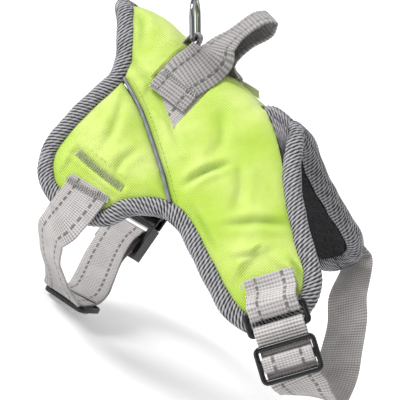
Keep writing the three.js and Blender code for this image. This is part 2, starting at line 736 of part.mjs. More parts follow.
// The long strap: from the slider's side up to the ring, round its lower bar, back under the
// slider, round the front of the chest and up to the left lobe.
const chestSliderY = RING_PITCH + 15;
const strapEndY = chestSliderY + SLIDER_HEIGHT / 2;
const sliderZ = 3.3 + SLIDER_THICK / 2;
const topZ = 2;
const lowZ = -0.2;
const leftT = CHEST_LOBE_T - 12;
const leftAcross = downFlank(CHEST_TIP_S - 8, leftT).multiplyScalar(-Math.cos(chestDown));
leftAcross.addScaledVector(X_AXIS, Math.sin(chestDown));
const chestRows = [
  ...rowsInChest([[strapEndY, topZ - 0.3], [chestSliderY - 4, topZ - 0.2], [RING_PITCH + 6, topZ]]),
  ...rowsInChest(fold(RING_PITCH, 1).reverse()),
  ...rowsInChest([[RING_PITCH + 6, -1.2], [chestSliderY - 4, lowZ], [strapEndY, lowZ]]),
  hang(109.5, -42, -92, 24, 46),
  hang(113.5, -33, -96, 8, 36),
  hang(115.5, -20, -98.5, -12, 22),
  hang(115.5, -5, -100, -28, 10),
  hang(114, 10, -101, -28, 8),
  hang(111, 24, -97, -23, 16),
  hang(104, 38, -88, -18, 32),
  hang(96, 49, -77, -19, 38),
  hang(87, 57, -68, -20, 40),
  { p: place(CHEST_TIP_S + 5, leftT + 5, 5.4), w: leftAcross.clone() },
  { p: place(CHEST_TIP_S, leftT + 1.5, 4.6), w: leftAcross.clone() },
  { p: place(CHEST_TIP_S - 8, leftT - 2, 3.4), w: leftAcross.clone() },
  { p: place(CHEST_TIP_S - 17, leftT - 7, 1.6), w: leftAcross.clone() },
];
add('chest_strap', band(chestRows, WEB_WIDTH, WEB_THICK), WEBBING);

const chestSlider = chest.clone().multiply(
  new THREE.Matrix4().makeTranslation(0, chestSliderY, sliderZ),
);
add('chest_slider', sliderPlate().applyMatrix4(chestSlider), BLACK);
add('chest_slider_wrap', sliderWrap().applyMatrix4(chestSlider), WEBBING);

// ---------- girth loop ----------

const girthBasis = new THREE.Matrix4().makeRotationZ(rad(GIRTH_TURN));
girthBasis.multiply(new THREE.Matrix4().makeRotationY(-rad(GIRTH_TILT)));
const girthAcross = X_AXIS.clone().transformDirection(girthBasis);
const girthLeft = new THREE.Vector3(0, 1, 0).transformDirection(girthBasis);
const girthUp = new THREE.Vector3(0, 0, 1).transformDirection(girthBasis);
const under = (x, y, rise) => hang(x, y, rise - GIRTH_DROP, GIRTH_TURN, GIRTH_TILT);

// The buckle has its own plane: its middle bar on local x, local y up into the socket, z outwards.
const buckleLean = rad(BUCKLE_LEAN);
const buckleAxis = girthLeft.clone().multiplyScalar(Math.sin(buckleLean));
buckleAxis.addScaledVector(girthUp, Math.cos(buckleLean));
const buckle = local(new THREE.Vector3(...BUCKLE_AT), girthAcross.clone().negate(), buckleAxis);
const inBuckle = (y, z) => ({
  p: new THREE.Vector3(0, y, z).applyMatrix4(buckle),
  w: girthAcross.clone(),
});

function lobeAcross(side) {
  const down = downFlank(GIRTH_LOBE_S, side * GIRTH_LOBE_T);
  return X_AXIS.clone().addScaledVector(down, -Math.tan(rad(GIRTH_TILT))).normalize();
}
const onRightLobe = (s, t, height) => ({
  p: place(GIRTH_LOBE_S + s, -(GIRTH_LOBE_T + t), height),
  w: lobeAcross(-1),
});
const SLIDER_AT = [-29, -3]; // middle of the girth slider
const girthRows = [
  onRightLobe(4.8, -13, 1.1),
  onRightLobe(5.6, -6, 2),
  onRightLobe(6.2, 1, 3.6),
  hang(-38, -53.5, -101, -4, 12),
  hang(-40.5, -52, 39 - GIRTH_DROP, -26, 16),
  hang(-38, -45, 27 - GIRTH_DROP, -42, 20),
  hang(-32.5, -35, 16 - GIRTH_DROP, -42, 20),
  hang(-29.5, -25, 7.5 - GIRTH_DROP, -24, 15),
  under(-31, -15, 1.4),
  under(-30, -9, 0),
  under(-29, -1, 0),
  under(-28.5, 6, 0.7),
  under(-29.5, 12, 3),
  under(-32.5, 18, 6.6),
  under(-40.2, 32, 17.6),
  { p: inBuckle(-6, 1).p, w: girthAcross.clone() },
  ...fold(0, -1).reverse().map(([y, z]) => inBuckle(y, z)),
  inBuckle(-5, -wrapRadius - 2.6),
  under(-40.2, 29.6, 19.2),
  under(-32.5, 16, 8.6),
  under(-28.3, 6, 3.6),
  under(-28, -1, 2.2),
];
add('girth_strap', band(girthRows, WEB_WIDTH, WEB_THICK), WEBBING);

const sliderDrop = GIRTH_DROP + WEB_THICK / 2 + GAP + SLIDER_THICK / 2;
const girthSlider = local(
  new THREE.Vector3(...SLIDER_AT, -sliderDrop),
  girthAcross,
  girthLeft.clone().negate(),
);
add('girth_slider', sliderPlate().applyMatrix4(girthSlider), BLACK);
add('girth_slider_wrap', sliderWrap().applyMatrix4(girthSlider), WEBBING);

// ---------- side-release buckle ----------

const halfWidth = BUCKLE_WIDTH / 2;
const inside = WEB_WIDTH / 2 + 0.8; // half the width of the slots for webbing
const backFace = -1.7; // inner face of both halves, in the plane of the buckle
const topFace = backFace + BUCKLE_THICK;
const baseEnd = BUCKLE_BASE - 14; // the plug's shoulder; its lower bar ends 14 below the middle bar
const barHalf = RING_BAR / 2;
const webTop = wrapRadius + WEB_THICK / 2 + 2 * GAP; // height that clears the webbing
const clear = 20; // more than any thickness, for cuts that go right through

function plug() {
  const block = box(-halfWidth, halfWidth, baseEnd - BUCKLE_BASE, baseEnd, backFace, topFace);
  const tongue = box(-3.6, 3.6, baseEnd - 1, baseEnd + 14, 0.8, 3.8);
  const slotEnd = webTop + 1.5;
  const tools = [
    box(-inside, inside, -clear, -BUCKLE_BASE + baseEnd + 3, -clear, webTop),
    box(-inside, inside, -BUCKLE_BASE + baseEnd + 3, -barHalf, -clear, clear),
    box(-inside, inside, -barHalf - 0.1, barHalf + 0.1, barHalf, clear),
    box(-inside, inside, -barHalf - 0.1, barHalf + 0.1, -clear, -barHalf),
    box(-inside, inside, barHalf, slotEnd, -clear, clear),
  ];
  return cut(joined(block, tongue), ...tools);
}
add('buckle_plug', plug().applyMatrix4(buckle), BLACK);

const socketStart = baseEnd + GAP;
const socketEnd = socketStart + BUCKLE_FEMALE;
const tabBar = socketEnd - barHalf - 0.2;
const tabBarZ = (backFace + topFace) / 2;
function socket() {
  const block = box(-halfWidth, halfWidth, socketStart, socketEnd, backFace, topFace);
  const slotEnd = tabBar - barHalf;
  const tools = [
    box(-clear, clear, socketStart - 1, socketStart + 13.5, 0.4, 4.2),
    box(-14, 14, socketStart - 1, socketStart + 17.5, 0.4, 4.2),
    box(-inside, inside, slotEnd - 3.2, slotEnd, -clear, clear),
    box(-inside, inside, slotEnd - 1, clear * 3, tabBarZ + barHalf, clear),
    box(-inside, inside, slotEnd - 1, clear * 3, -clear, tabBarZ - barHalf),
  ];
  return cut(block, ...tools);
}
add('buckle_socket', socket().applyMatrix4(buckle), BLACK);

// Springy arms of the plug, each with its button in the side of the socket.
const PRONG = [
  [6, 0.7],
  [10.5, 0.7],
  [12.5, 4.5],
  [15.8, 6],
  [16.3, 10.5],
  [13.6, 12.8],
  [12.6, 16],
  [10.2, 16],
  [10.4, 8],
  [8, 4],
];
function prong(side) {
  const outline = new THREE.Shape(PRONG.map(([x, y]) => flat(side * x, baseEnd + y)));
  const arm = plate(outline, 2.8);
  return arm.translate(0, 0, 2.3);
}
add('buckle_prong_rear', prong(1).applyMatrix4(buckle), BLACK);
add('buckle_prong_front', prong(-1).applyMatrix4(buckle), BLACK);

const onLeftLobe = (s, t, height) => ({
  p: place(GIRTH_LOBE_S + s, GIRTH_LOBE_T + t, height),
  w: lobeAcross(1),
});
const socketTab = [
  onLeftLobe(-4, -42, 4),
  onLeftLobe(-5, -35, 5.2),
  inBuckle(tabBar + 5, tabBarZ + wrapRadius),
  ...fold(tabBar, 1).reverse().map(([y, z]) => inBuckle(y, z + tabBarZ)),
  inBuckle(tabBar + 5, tabBarZ - wrapRadius),
  onLeftLobe(-5, -31, 3),
  onLeftLobe(-4, -38, 2.2),
];
add('buckle_tab', band(socketTab, WEB_WIDTH, WEB_THICK, 2), WEBBING);

export default harness;
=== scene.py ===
import math

import bpy
import numpy as np
from bpy.props import FloatProperty, FloatVectorProperty, PointerProperty
from mathutils import Matrix, Vector


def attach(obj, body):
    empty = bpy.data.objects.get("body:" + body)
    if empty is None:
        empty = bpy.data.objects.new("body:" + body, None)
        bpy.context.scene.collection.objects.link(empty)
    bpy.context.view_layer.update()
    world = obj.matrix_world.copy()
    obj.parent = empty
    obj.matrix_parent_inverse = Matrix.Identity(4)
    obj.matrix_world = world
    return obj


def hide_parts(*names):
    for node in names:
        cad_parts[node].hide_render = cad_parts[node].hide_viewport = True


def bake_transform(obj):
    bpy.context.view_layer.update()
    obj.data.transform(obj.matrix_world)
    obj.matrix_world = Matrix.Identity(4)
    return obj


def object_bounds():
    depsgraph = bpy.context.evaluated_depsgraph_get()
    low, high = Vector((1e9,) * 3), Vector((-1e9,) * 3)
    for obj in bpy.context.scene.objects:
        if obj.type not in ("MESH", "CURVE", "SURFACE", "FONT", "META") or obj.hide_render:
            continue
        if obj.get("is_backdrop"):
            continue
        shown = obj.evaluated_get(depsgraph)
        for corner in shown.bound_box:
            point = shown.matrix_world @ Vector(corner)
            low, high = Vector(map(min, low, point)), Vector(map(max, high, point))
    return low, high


bl_info = {
    "name": "Saddle harness",
    "version": (1, 0, 0),
    "blender": (4, 5, 0),
    "location": "View3D > Sidebar > Harness",
    "description": "Builds a padded saddle harness for a small dog around its packed frame",
    "category": "Add Mesh",
}

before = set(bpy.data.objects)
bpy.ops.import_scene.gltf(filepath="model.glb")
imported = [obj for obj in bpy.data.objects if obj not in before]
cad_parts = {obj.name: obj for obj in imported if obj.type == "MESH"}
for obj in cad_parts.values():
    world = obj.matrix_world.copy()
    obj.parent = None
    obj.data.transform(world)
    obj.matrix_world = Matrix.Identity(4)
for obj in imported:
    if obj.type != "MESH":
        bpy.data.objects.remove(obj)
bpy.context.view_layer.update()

MM = 0.001
BODY = "harness"

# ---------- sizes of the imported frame, in millimetres ----------
# The saddle is drawn flat in two coordinates: s runs along the spine to the head, and t is the
# distance down a flank from the ridge, negative on the right.

CROWN_RADIUS = 18.0
FLARE_RIGHT = 24.0
FLARE_LEFT = 28.0
FLARE_NECK = 51.0
CROWN_NECK = 26.0
NECK_START = -20.0
NECK_LENGTH = 80.0
NECK_SWING = 11.4
CURL_START = 60.0
CURL_RIGHT = 240.0
CURL_LEFT = 95.0
HUMP_RISE = 4.0
HUMP_S = -76.0
HUMP_LENGTH = 22.0
COLLAR_RISE = 2.5
COLLAR_LENGTH = 8.0
RIDGE_HALF = 40.0
TAIL_REACH = 96.0
NECK_REACH = 18.0
YOKE_REAR = -1.0
WAIST = (-66.0, 42.0)
GIRTH_S = -44.0
GIRTH_T = 109.0
GIRTH_HALF = 24.0
LEG = (6.0, 77.5)
CHEST = (66.0, 96.5)
TIP = (82.5, 75.0)
GAP = 0.3
SHELL = 1.0
FOAM = 3.6
LINING = 0.9
LOW = -(SHELL + 2 * GAP + FOAM + GAP + LINING)
WEB = 25.0
THICK = 1.2
CROSS_WIDTH = 27.0
CROSS_S = -38.5
HANDLE_END = 36.5
HANDLE_RISE = 39.0
RING_LEAN = math.radians(34)
RING_TURN = math.radians(16)
RING_BAR = 3.0
RING_PITCH = 10.0
GIRTH_DROP = 151.0
CHEST_DOWN = math.radians(34.6)
BUCKLE_AT = (-43.0, 46.5, -116.0)
GIRTH_TILT = math.radians(12)
GIRTH_TURN = math.radians(-13)
WRAP = RING_BAR / 2 + 4 * GAP + THICK / 2


# ---------- sizes and colours that a user may change ----------


def linear(text):
    """A sRGB hex colour as linear red, green and blue."""
    values = [int(text[i : i + 2], 16) / 255 for i in (1, 3, 5)]
    return tuple(v / 12.92 if v <= 0.04045 else ((v + 0.055) / 1.055) ** 2.4 for v in values)


def length(name, text, millimetres):
    return FloatProperty(
        name=name, description=text, default=millimetres * MM, min=0.0, unit="LENGTH", precision=5
    )


def colour(name, text, value):
    return FloatVectorProperty(
        name=name, description=text, default=linear(value), size=3, min=0.0, max=1.0, subtype="COLOR"
    )


class HarnessSizes(bpy.types.PropertyGroup):
    puff: length("Puff", "Height that the padded fabric swells between its seams", 2.2)
    tuck: length("Tuck", "Depth that the fabric is pulled in along its seams", 1.1)
    roll: length("Binding width", "Width of the rolled tape round the edge", 9.4)
    rib_pitch: length("Tape rib pitch", "Distance between the diagonal ribs of the tape", 1.9)
    stitch_pitch: length("Stitch pitch", "Distance from one stitch to the next", 2.6)
    stitch_length: length("Stitch length", "Visible length of one stitch", 1.9)
    thread: length("Thread radius", "Radius of the sewing thread", 0.22)
    wire: length("Ring wire", "Radius of the leash ring's wire", 1.5)
    edge_round: length("Edge radius", "Rounding of the moulded plastic edges", 1.1)


class HarnessColours(bpy.types.PropertyGroup):
    lime: colour("Lime", "Outer fabric", "#c0dc4e")
    # painted shade: the lime goes to this deeper green along the seams and in the creases; the weave's
    # dark yarns lean towards it too
    lime_weave_and_crease_shade: colour("Lime in creases", "Outer fabric in its folds", "#74a01c")
    tape_light: colour("Tape light", "Light ribs of the tape", "#a9a8ad")
    tape_dark: colour("Tape dark", "Dark ground of the tape", "#0d0d10")
    webbing: colour("Webbing", "Light grey webbing", "#c0bbba")
    dashes: colour("Dashes", "Dark reflective dashes of the webbing", "#4a494e")
    plastic: colour("Plastic", "Moulded buckle, ring and sliders", "#0e0e10")
    # painted reflection: the plated ring gets this dim grey to stand in for the dark surroundings that
    # it would mirror
    chrome_painted_reflection: colour("Chrome", "Plated leash ring", "#8f9194")
    piping: colour("Piping", "Reflective piping", "#8a8d92")


def sizes():
    return bpy.context.scene.harness_sizes


def colours():
    return bpy.context.scene.harness_colours


# ---------- the wrapped surface ----------


def ramp(x):
    x = np.clip(x, 0.0, 1.0)
    return x * x * (3 - 2 * x)


def mix(a, b, share):
    return a + (b - a) * share


def section(s, t):
    """Point and outward normal of the cross-section at (s, t): y, z, normal y, normal z."""
    right = t < 0
    side = np.where(right, -1.0, 1.0)
    opened = np.where(right, 0.0, ramp((s - NECK_START) / NECK_LENGTH))
    flare = np.where(right, FLARE_RIGHT, mix(FLARE_LEFT, FLARE_NECK, opened))
    slope = np.radians(90 - flare)
    radius = mix(CROWN_RADIUS, CROWN_NECK, opened)
    curl = np.where(right, CURL_RIGHT, CURL_LEFT)
    crown = radius * slope
    a = np.abs(t)
    bent = np.minimum(a, crown) / radius
    straight = np.maximum(0, np.minimum(a, CURL_START) - crown)
    turned = slope + np.maximum(0, a - CURL_START) / curl
    y = radius * np.sin(bent) + straight * np.cos(slope) + curl * (np.sin(turned) - np.sin(slope))
    z = radius * (np.cos(bent) - 1) - straight * np.sin(slope) - curl * (np.cos(slope) - np.cos(turned))
    angle = np.where(a < crown, bent, turned)
    return side * y, z, side * np.sin(angle), np.cos(angle)


def place(s, t, height=0.0):
    """Points over the pattern at (s, t), raised by height along the surface's normal."""
    s, t, height = np.broadcast_arrays(*(np.asarray(v, float) for v in (s, t, height)))
    y, z, ny, nz = section(s, t)
    swing = np.where(t > 0, NECK_SWING * ramp((t - 20) / 50) * ramp(s / 60), 0)
    hump = HUMP_RISE * np.exp(-(((s - HUMP_S) / HUMP_LENGTH) ** 2))
    collar = COLLAR_RISE * ramp((s - YOKE_REAR) / COLLAR_LENGTH)
    rise = (hump + collar) * (1 - ramp(np.abs(t) / RIDGE_HALF))
    return np.stack([s - swing, y + ny * height, z + nz * height + rise], -1)


def unit(v):
    return v / np.linalg.norm(v, axis=-1, keepdims=True)


def down_flank(s, t):
    side = -1 if t < 0 else 1
    return unit(place(s, t + side) - place(s, t - side))


class Path:
    """A centripetal curve through points, open or closed."""

    def __init__(self, points, closed=False):
        p = np.asarray(points, float)
        self.closed = closed
        self.spans = len(p) if closed else len(p) - 1
        before = p[-1:] if closed else 2 * p[:1] - p[1:2]
        after = p[:2] if closed else 2 * p[-1:] - p[-2:-1]
        self.p = np.concatenate([before, p, after])
        u = np.linspace(0, 1, 60 * self.spans + 1)
        steps = np.linalg.norm(np.diff(self.at(u), axis=0), axis=1)
        self.table = (np.concatenate([[0], np.cumsum(steps)]), u)
        self.length = self.table[0][-1]

    def at(self, u):
        x = np.asarray(u, float) * self.spans
        x = x % self.spans if self.closed else np.clip(x, 0, self.spans)
        k = np.minimum(np.floor(x).astype(int), self.spans - 1)
        f = (x - k)[..., None]
        p0, p1, p2, p3 = (self.p[k + i] for i in range(4))
        d0, d1, d2 = (np.sqrt(np.linalg.norm(b - a, axis=-1, keepdims=True)) for a, b in
                      ((p0, p1), (p1, p2), (p2, p3)))
        d1 = np.maximum(d1, 1e-3)
        d0 = np.where(d0 < 1e-3, d1, d0)
        d2 = np.where(d2 < 1e-3, d1, d2)
        t1 = ((p1 - p0) / d0 - (p2 - p0) / (d0 + d1) + (p2 - p1) / d1) * d1
        t2 = ((p2 - p1) / d1 - (p3 - p1) / (d1 + d2) + (p3 - p2) / d2) * d1
        c2 = -3 * p1 + 3 * p2 - 2 * t1 - t2
        c3 = 2 * p1 - 2 * p2 + t1 + t2
        return p1 + t1 * f + c2 * f**2 + c3 * f**3

    def even(self, share):
        """Points at shares of the curve's length."""
        return self.at(np.interp(np.asarray(share, float) * self.length, *self.table))


# ---------- the pattern ----------

HALF_EDGE = [
    (-TAIL_REACH, 0),
    (-TAIL_REACH + 6, 9),
    (-TAIL_REACH + 17, 21),
    (WAIST[0] - 4.5, WAIST[1] - 11),
    WAIST,
    (GIRTH_S - GIRTH_HALF + 0.5, WAIST[1] + 19),
    (GIRTH_S - GIRTH_HALF - 0.5, GIRTH_T - 28),
    (GIRTH_S - GIRTH_HALF + 1, GIRTH_T - 13),
    (GIRTH_S - GIRTH_HALF + 9, GIRTH_T - 3),
    (GIRTH_S - 3, GIRTH_T),
    (GIRTH_S + 10, GIRTH_T - 2),
    (GIRTH_S + 18.5, GIRTH_T - 7),
    (GIRTH_S + GIRTH_HALF - 0.5, GIRTH_T - 17),
    (LEG[0] - 17, LEG[1] + 5.5),
    (LEG[0] - 6, LEG[1]),
    (LEG[0] + 8, LEG[1] + 0.5),
    (LEG[0] + 24, LEG[1] + 7),
    (CHEST[0] - 20, CHEST[1] - 5),
    (CHEST[0] - 6, CHEST[1]),
    (CHEST[0] + 5, CHEST[1] - 1),
    (TIP[0] - 4, TIP[1] + 11.5),
    TIP,
    (TIP[0] - 4, TIP[1] - 10),
    (TIP[0] - 20, TIP[1] - 22),
    (NECK_REACH + 27, 39),
    (NECK_REACH + 16, 28),
    (NECK_REACH + 7, 14.5),
    (NECK_REACH, 0),
]
AT_WAIST, AT_GIRTH_REAR, AT_GIRTH_END, AT_GIRTH_FRONT, AT_LEG = 4, 8.2, 9.6, 11.2, 14
AT_CHEST_REAR, AT_CHEST_END, AT_YOKE = 18, 20, 25
AT_NECK = len(HALF_EDGE) - 1
STATIONS = 2 * AT_NECK
EDGE = Path(
    [(s, -t) for s, t in HALF_EDGE] + [(s, t) for s, t in HALF_EDGE[-2:0:-1]], closed=True
)


def edge(station, out=0.0):
    """Points of the pattern's edge at stations, moved outwards by out."""
    u = np.asarray(station, float) / STATIONS
    step = 1e-4
    d = unit(EDGE.at(u + step) - EDGE.at(u - step))
    out = np.asarray(out, float)[..., None]
    return EDGE.at(u) + np.stack([d[..., 1], -d[..., 0]], -1) * out


def edge_run(start, stop, out, steps):
    return edge(np.linspace(start, stop, steps + 1), out)


def mirrored(points):
    return np.asarray(points) * (1, -1)


def coons(rear, front, right, left, along, across):
    """A grid of pattern points between four curves."""
    u = np.linspace(0, 1, along + 1)
    v = np.linspace(0, 1, across + 1)
    r, l, b, f = right.even(u), left.even(u), rear.even(v), front.even(v)
    u, v = u[:, None, None], v[None, :, None]
    flat = r[:, None] * (1 - v) + l[:, None] * v + b[None] * (1 - u) + f[None] * u
    flat = flat - r[0] * (1 - u) * (1 - v) - r[-1] * u * (1 - v)
    return flat - l[0] * (1 - u) * v - l[-1] * u * v


EDGE_GAP = 0.4
SEAM = 1.15
PIPING = np.array([
    (WAIST[0] + 1, WAIST[1] - 1),
    (WAIST[0] + 18, WAIST[1] + 6),
    (WAIST[0] + 36, WAIST[1] + 16),
    (LEG[0] - 19, LEG[1] - 9),
    (LEG[0] - 6, LEG[1]),
])


def piping_run(side, drop):
    """The piping's line on one side, moved down the flank by drop."""
    return (PIPING + (-0.5 * drop, 0.86 * drop)) * (1, side)


def main_patch(drop, front_right, along, across):
    right = np.concatenate([
        edge_run(AT_WAIST - 0.1, AT_WAIST - 0.1, -EDGE_GAP, 0),
        piping_run(-1, drop)[1:-1],
        edge_run(AT_LEG + 0.15, AT_CHEST_REAR, -EDGE_GAP, 5),
    ])
    rear = edge_run(AT_WAIST - 0.1, -AT_WAIST + 0.1, -EDGE_GAP, 12)
    front = np.concatenate([front_right, mirrored(front_right)[::-1][1:]])
    return coons(Path(rear), Path(front), Path(right), Path(mirrored(right)), along, across)


def girth_patch(side, drop, along, across):
    flip = (1, -side)
    top = np.concatenate([
        edge_run(AT_WAIST + 0.05, AT_WAIST + 0.05, -EDGE_GAP, 0),
        piping_run(-1, drop)[1:-1],
        edge_run(AT_LEG - 0.1, AT_LEG - 0.1, -EDGE_GAP, 0),
    ]) * flip
    rear = edge_run(AT_WAIST + 0.05, AT_GIRTH_REAR, -EDGE_GAP, 6) * flip
    front = edge_run(AT_LEG - 0.1, AT_GIRTH_FRONT, -EDGE_GAP, 5) * flip
    low = edge_run(AT_GIRTH_REAR, AT_GIRTH_FRONT, -EDGE_GAP, 5) * flip
    return coons(Path(rear), Path(front), Path(top), Path(low), along, across)


YOKE_LINE = np.array([(YOKE_REAR + 20.5, -17.5), (YOKE_REAR + 6, -7.5), (YOKE_REAR, 0)])


# ---------- meshes ----------


def build(name, verts, quads, uv, finish, caps=(), smooth=60):
    """A mesh object from points in millimetres, four-sided faces with their map, and end caps."""
    verts, quads, uv = np.asarray(verts, float), np.asarray(quads), np.asarray(uv, float)
    corners = verts[quads]
    volume = np.einsum("ij,ij->i", corners[:, 0], np.cross(corners[:, 1], corners[:, 2])).sum()
    volume += np.einsum("ij,ij->i", corners[:, 0], np.cross(corners[:, 2], corners[:, 3])).sum()
    if volume < 0:
        quads, uv, caps = quads[:, ::-1], uv[:, ::-1], [c[::-1] for c in caps]
    mesh = bpy.data.meshes.new(name)
    mesh.from_pydata((verts * MM).tolist(), [], quads.tolist() + [list(c) for c in caps])
    layer = mesh.uv_layers.new(name="cloth")
    flat = np.zeros((len(mesh.loops), 2))
    flat[: uv.size // 2] = uv.reshape(-1, 2) * MM
    layer.data.foreach_set("uv", flat.ravel())
    mesh.polygons.foreach_set("use_smooth", [True] * len(mesh.polygons))
    mesh.set_sharp_from_angle(angle=math.radians(smooth))
    mesh.materials.append(finish)
    mesh.update()
    obj = bpy.data.objects.new(name, mesh)
    bpy.context.scene.collection.objects.link(obj)
    return obj


def sweep(name, rings, spans, finish, closed=False, smooth=60):
    """A closed tube through rings of points. spans gives the map's two cross values of each side."""
    n, m, _ = rings.shape
    middle = rings.mean(1)
    steps = np.linalg.norm(np.diff(np.concatenate([middle, middle[:1]]), axis=0), axis=1)
    run = np.concatenate([[0], np.cumsum(steps)])
    i, j = np.meshgrid(np.arange(n if closed else n - 1), np.arange(m), indexing="ij")
    i, j = i.ravel(), j.ravel()
    i2, j2 = (i + 1) % n, (j + 1) % m
    quads = np.stack([i * m + j, i2 * m + j, i2 * m + j2, i * m + j2], -1)
    u = np.stack([run[i], run[i + 1], run[i + 1], run[i]], -1)
    a, b = np.asarray(spans, float).T
    v = np.stack([a[j], a[j], b[j], b[j]], -1)
    caps = () if closed else (list(range(m))[::-1], [(n - 1) * m + k for k in range(m)])
    return build(name, rings.reshape(-1, 3), quads, np.stack([u, v], -1), finish, caps, smooth)


def slab(name, flat, top, bottom, finish):
    """A closed sheet over a grid of pattern points, between two heights."""
    rows, cols = flat.shape[:2]
    s, t = flat[..., 0], flat[..., 1]
    verts = np.concatenate([place(s, t, h).reshape(-1, 3) for h in (top, bottom)])
    index = np.arange(rows * cols).reshape(rows, cols)
    face = np.stack([index[:-1, :-1], index[1:, :-1], index[1:, 1:], index[:-1, 1:]], -1).reshape(-1, 4)
    under = face[:, ::-1] + rows * cols
    ring = np.concatenate([index[:, 0], index[-1, 1:], index[-2::-1, -1], index[0, -2:0:-1]])
    after = np.roll(ring, -1)
    wall = np.stack([after, ring, ring + rows * cols, after + rows * cols], -1)
    quads = np.concatenate([face, under, wall])
    both = np.concatenate([flat.reshape(-1, 2)] * 2)
    return build(name, verts, quads, both[quads], finish, smooth=70)


def done(obj, slot, *nodes, body=BODY):
    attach(obj, body)
    if nodes:
        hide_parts(*nodes)
    return obj


def web_section(width=WEB, thick=THICK, steps=12):
    """Outline of flat webbing, and the cross values of its sides: the back's are 60 further on."""
    r = thick / 2
    x = np.linspace(-width / 2 + r, width / 2 - r, steps + 1)
    turn = np.radians([60, 0, -60])
    right = [(width / 2 - r + r * math.cos(a), r * math.sin(a)) for a in turn]
    left = [(-b, -c) for b, c in right]
    outline = [(a, r) for a in x] + right + [(a, -r) for a in x[::-1]] + left
    spans = list(zip(x[:-1], x[1:])) + [(width / 2, width / 2)] * 4
    spans += [(b + BACK, a + BACK) for a, b in list(zip(x[:-1], x[1:]))[::-1]]
    spans += [(-width / 2, -width / 2)] * 4
    return np.array(outline), spans


BACK = 60.0


def frames(rows, step):
    """Points, width directions and normals along a band's rows."""
    points = np.array([r[0] for r in rows], float)
    across = np.array([r[1] for r in rows], float)
    path = Path(points)
    chords = np.linalg.norm(np.diff(points, axis=0), axis=1)
    u = [k + f for k, c in enumerate(chords) for f in np.arange(0, 1, 1 / max(3, round(c / step)))]
    u = np.array(u + [len(chords)]) / len(chords)
    centre = path.at(u)
    k = np.minimum((u * len(chords)).astype(int), len(chords) - 1)
    f = ramp(u * len(chords) - k)[:, None]
    w = across[k] * (1 - f) + across[k + 1] * f
    forward = unit(np.gradient(centre, axis=0))
    w = unit(w - forward * np.sum(w * forward, -1, keepdims=True))
    return centre, w, np.cross(forward, w)


def band(name, rows, finish, width=WEB, thick=THICK, rib=1.1, depth=0.1, step=0.45, sag=0.0):
    """Flat webbing through rows of (point, width direction), with cross ribs on both faces."""
    centre, w, normal = frames(rows, step)
    outline, spans = web_section(width, thick)
    run = np.concatenate([[0], np.cumsum(np.linalg.norm(np.diff(centre, axis=0), axis=1))])
    wave = 1 + depth * np.cos(run * 2 * math.pi / rib)
    cup = sag * (1 - (2 * outline[:, 0] / width) ** 2)
    lift = outline[None, :, 1] * wave[:, None] + cup[None]
    rings = centre[:, None] + w[:, None] * outline[None, :, :1] + normal[:, None] * lift[..., None]
    return sweep(name, rings, spans, finish)


def tube(name, points, radius, finish, closed=False, sides=16, flat=1.0, guide=(0, 0, 1)):
    """A round or flattened rod along points."""
    p = np.asarray(points, float)
    if closed:
        forward = unit(np.roll(p, -1, 0) - np.roll(p, 1, 0))
    else:
        forward = unit(np.gradient(p, axis=0))
    a = unit(np.cross(forward, np.broadcast_to(guide, p.shape)))
    b = np.cross(forward, a)
    turn = np.linspace(0, 2 * math.pi, sides, endpoint=False)
    ring = a[:, None] * np.cos(turn)[None, :, None] + b[:, None] * np.sin(turn)[None, :, None] * flat
    spans = [(radius * c, radius * (c + 2 * math.pi / sides)) for c in turn]
    return sweep(name, p[:, None] + ring * radius, spans, finish, closed)


# ---------- materials ----------


def add(tree, kind, values=None, links=None, settings=None):
    """A node with its settings, its input values and its links, both by the input's name or number."""
    node = tree.nodes.new(kind)
    for key, value in (settings or {}).items():
        setattr(node, key, value)
    for key, value in (values or {}).items():
        node.inputs[key].default_value = value
    for key, socket in (links or {}).items():
        tree.links.new(socket, node.inputs[key])
    return node


class Finish:
    """A material under construction: its tree, its shader, and its map's two distances."""

    def __init__(self, name, values):
        self.material = bpy.data.materials.new(name)
        self.material.use_nodes = True
        self.tree = self.material.node_tree
        self.shader = self.tree.nodes["Principled BSDF"]
        for key, value in values.items():
            self.shader.inputs[key].default_value = value
        uv = add(self.tree, "ShaderNodeUVMap", settings={"uv_map": "cloth"})
        self.uv = uv.outputs[0]
        split = add(self.tree, "ShaderNodeSeparateXYZ", links={0: self.uv})
        self.u, self.v = split.outputs[0], split.outputs[1]
        coordinate = add(self.tree, "ShaderNodeTexCoord")
        self.object = coordinate.outputs["Object"]

    def math(self, operation, a, b=0.0, clamp=False):
        pairs = {0: a, 1: b}
        links = {k: x for k, x in pairs.items() if isinstance(x, bpy.types.NodeSocket)}
        values = {k: x for k, x in pairs.items() if k not in links}
        settings = {"operation": operation, "use_clamp": clamp}
        return add(self.tree, "ShaderNodeMath", values, links, settings).outputs[0]

    def wave(self, distance, pitch, shift=0.0):
        """A sine of a distance, once round in each pitch of millimetres."""
        turn = self.math("MULTIPLY", distance, 2 * math.pi / (pitch * MM))
        return self.math("SINE", self.math("ADD", turn, shift))

    def noise(self, scale, detail=2.0, vector=None):
        values = {"Scale": scale, "Detail": detail}
        links = {"Vector": vector or self.object}
        return add(self.tree, "ShaderNodeTexNoise", values, links).outputs[0]

    def ramp(self, value, low, high):
        """Value moved from low..high to 0..1, softly."""
        values = {1: low, 2: high}
        settings = {"interpolation_type": "SMOOTHSTEP"}
        return add(self.tree, "ShaderNodeMapRange", values, {0: value}, settings).outputs[0]

    def blend(self, share, a, b):
        pairs = {6: a, 7: b}
        links = {k: x for k, x in pairs.items() if isinstance(x, bpy.types.NodeSocket)}
        links[0] = share
        values = {k: (*x, 1.0) for k, x in pairs.items() if k not in links}
        return add(self.tree, "ShaderNodeMix", values, links, {"data_type": "RGBA"}).outputs[2]

    def bump(self, height, strength, distance, normal=None):
        values = {"Strength": strength, "Distance": distance * MM}
        links = {"Height": height}
        if normal:
            links["Normal"] = normal
        return add(self.tree, "ShaderNodeBump", values, links).outputs[0]

    def link(self, socket, name):
        self.tree.links.new(socket, self.shader.inputs[name])


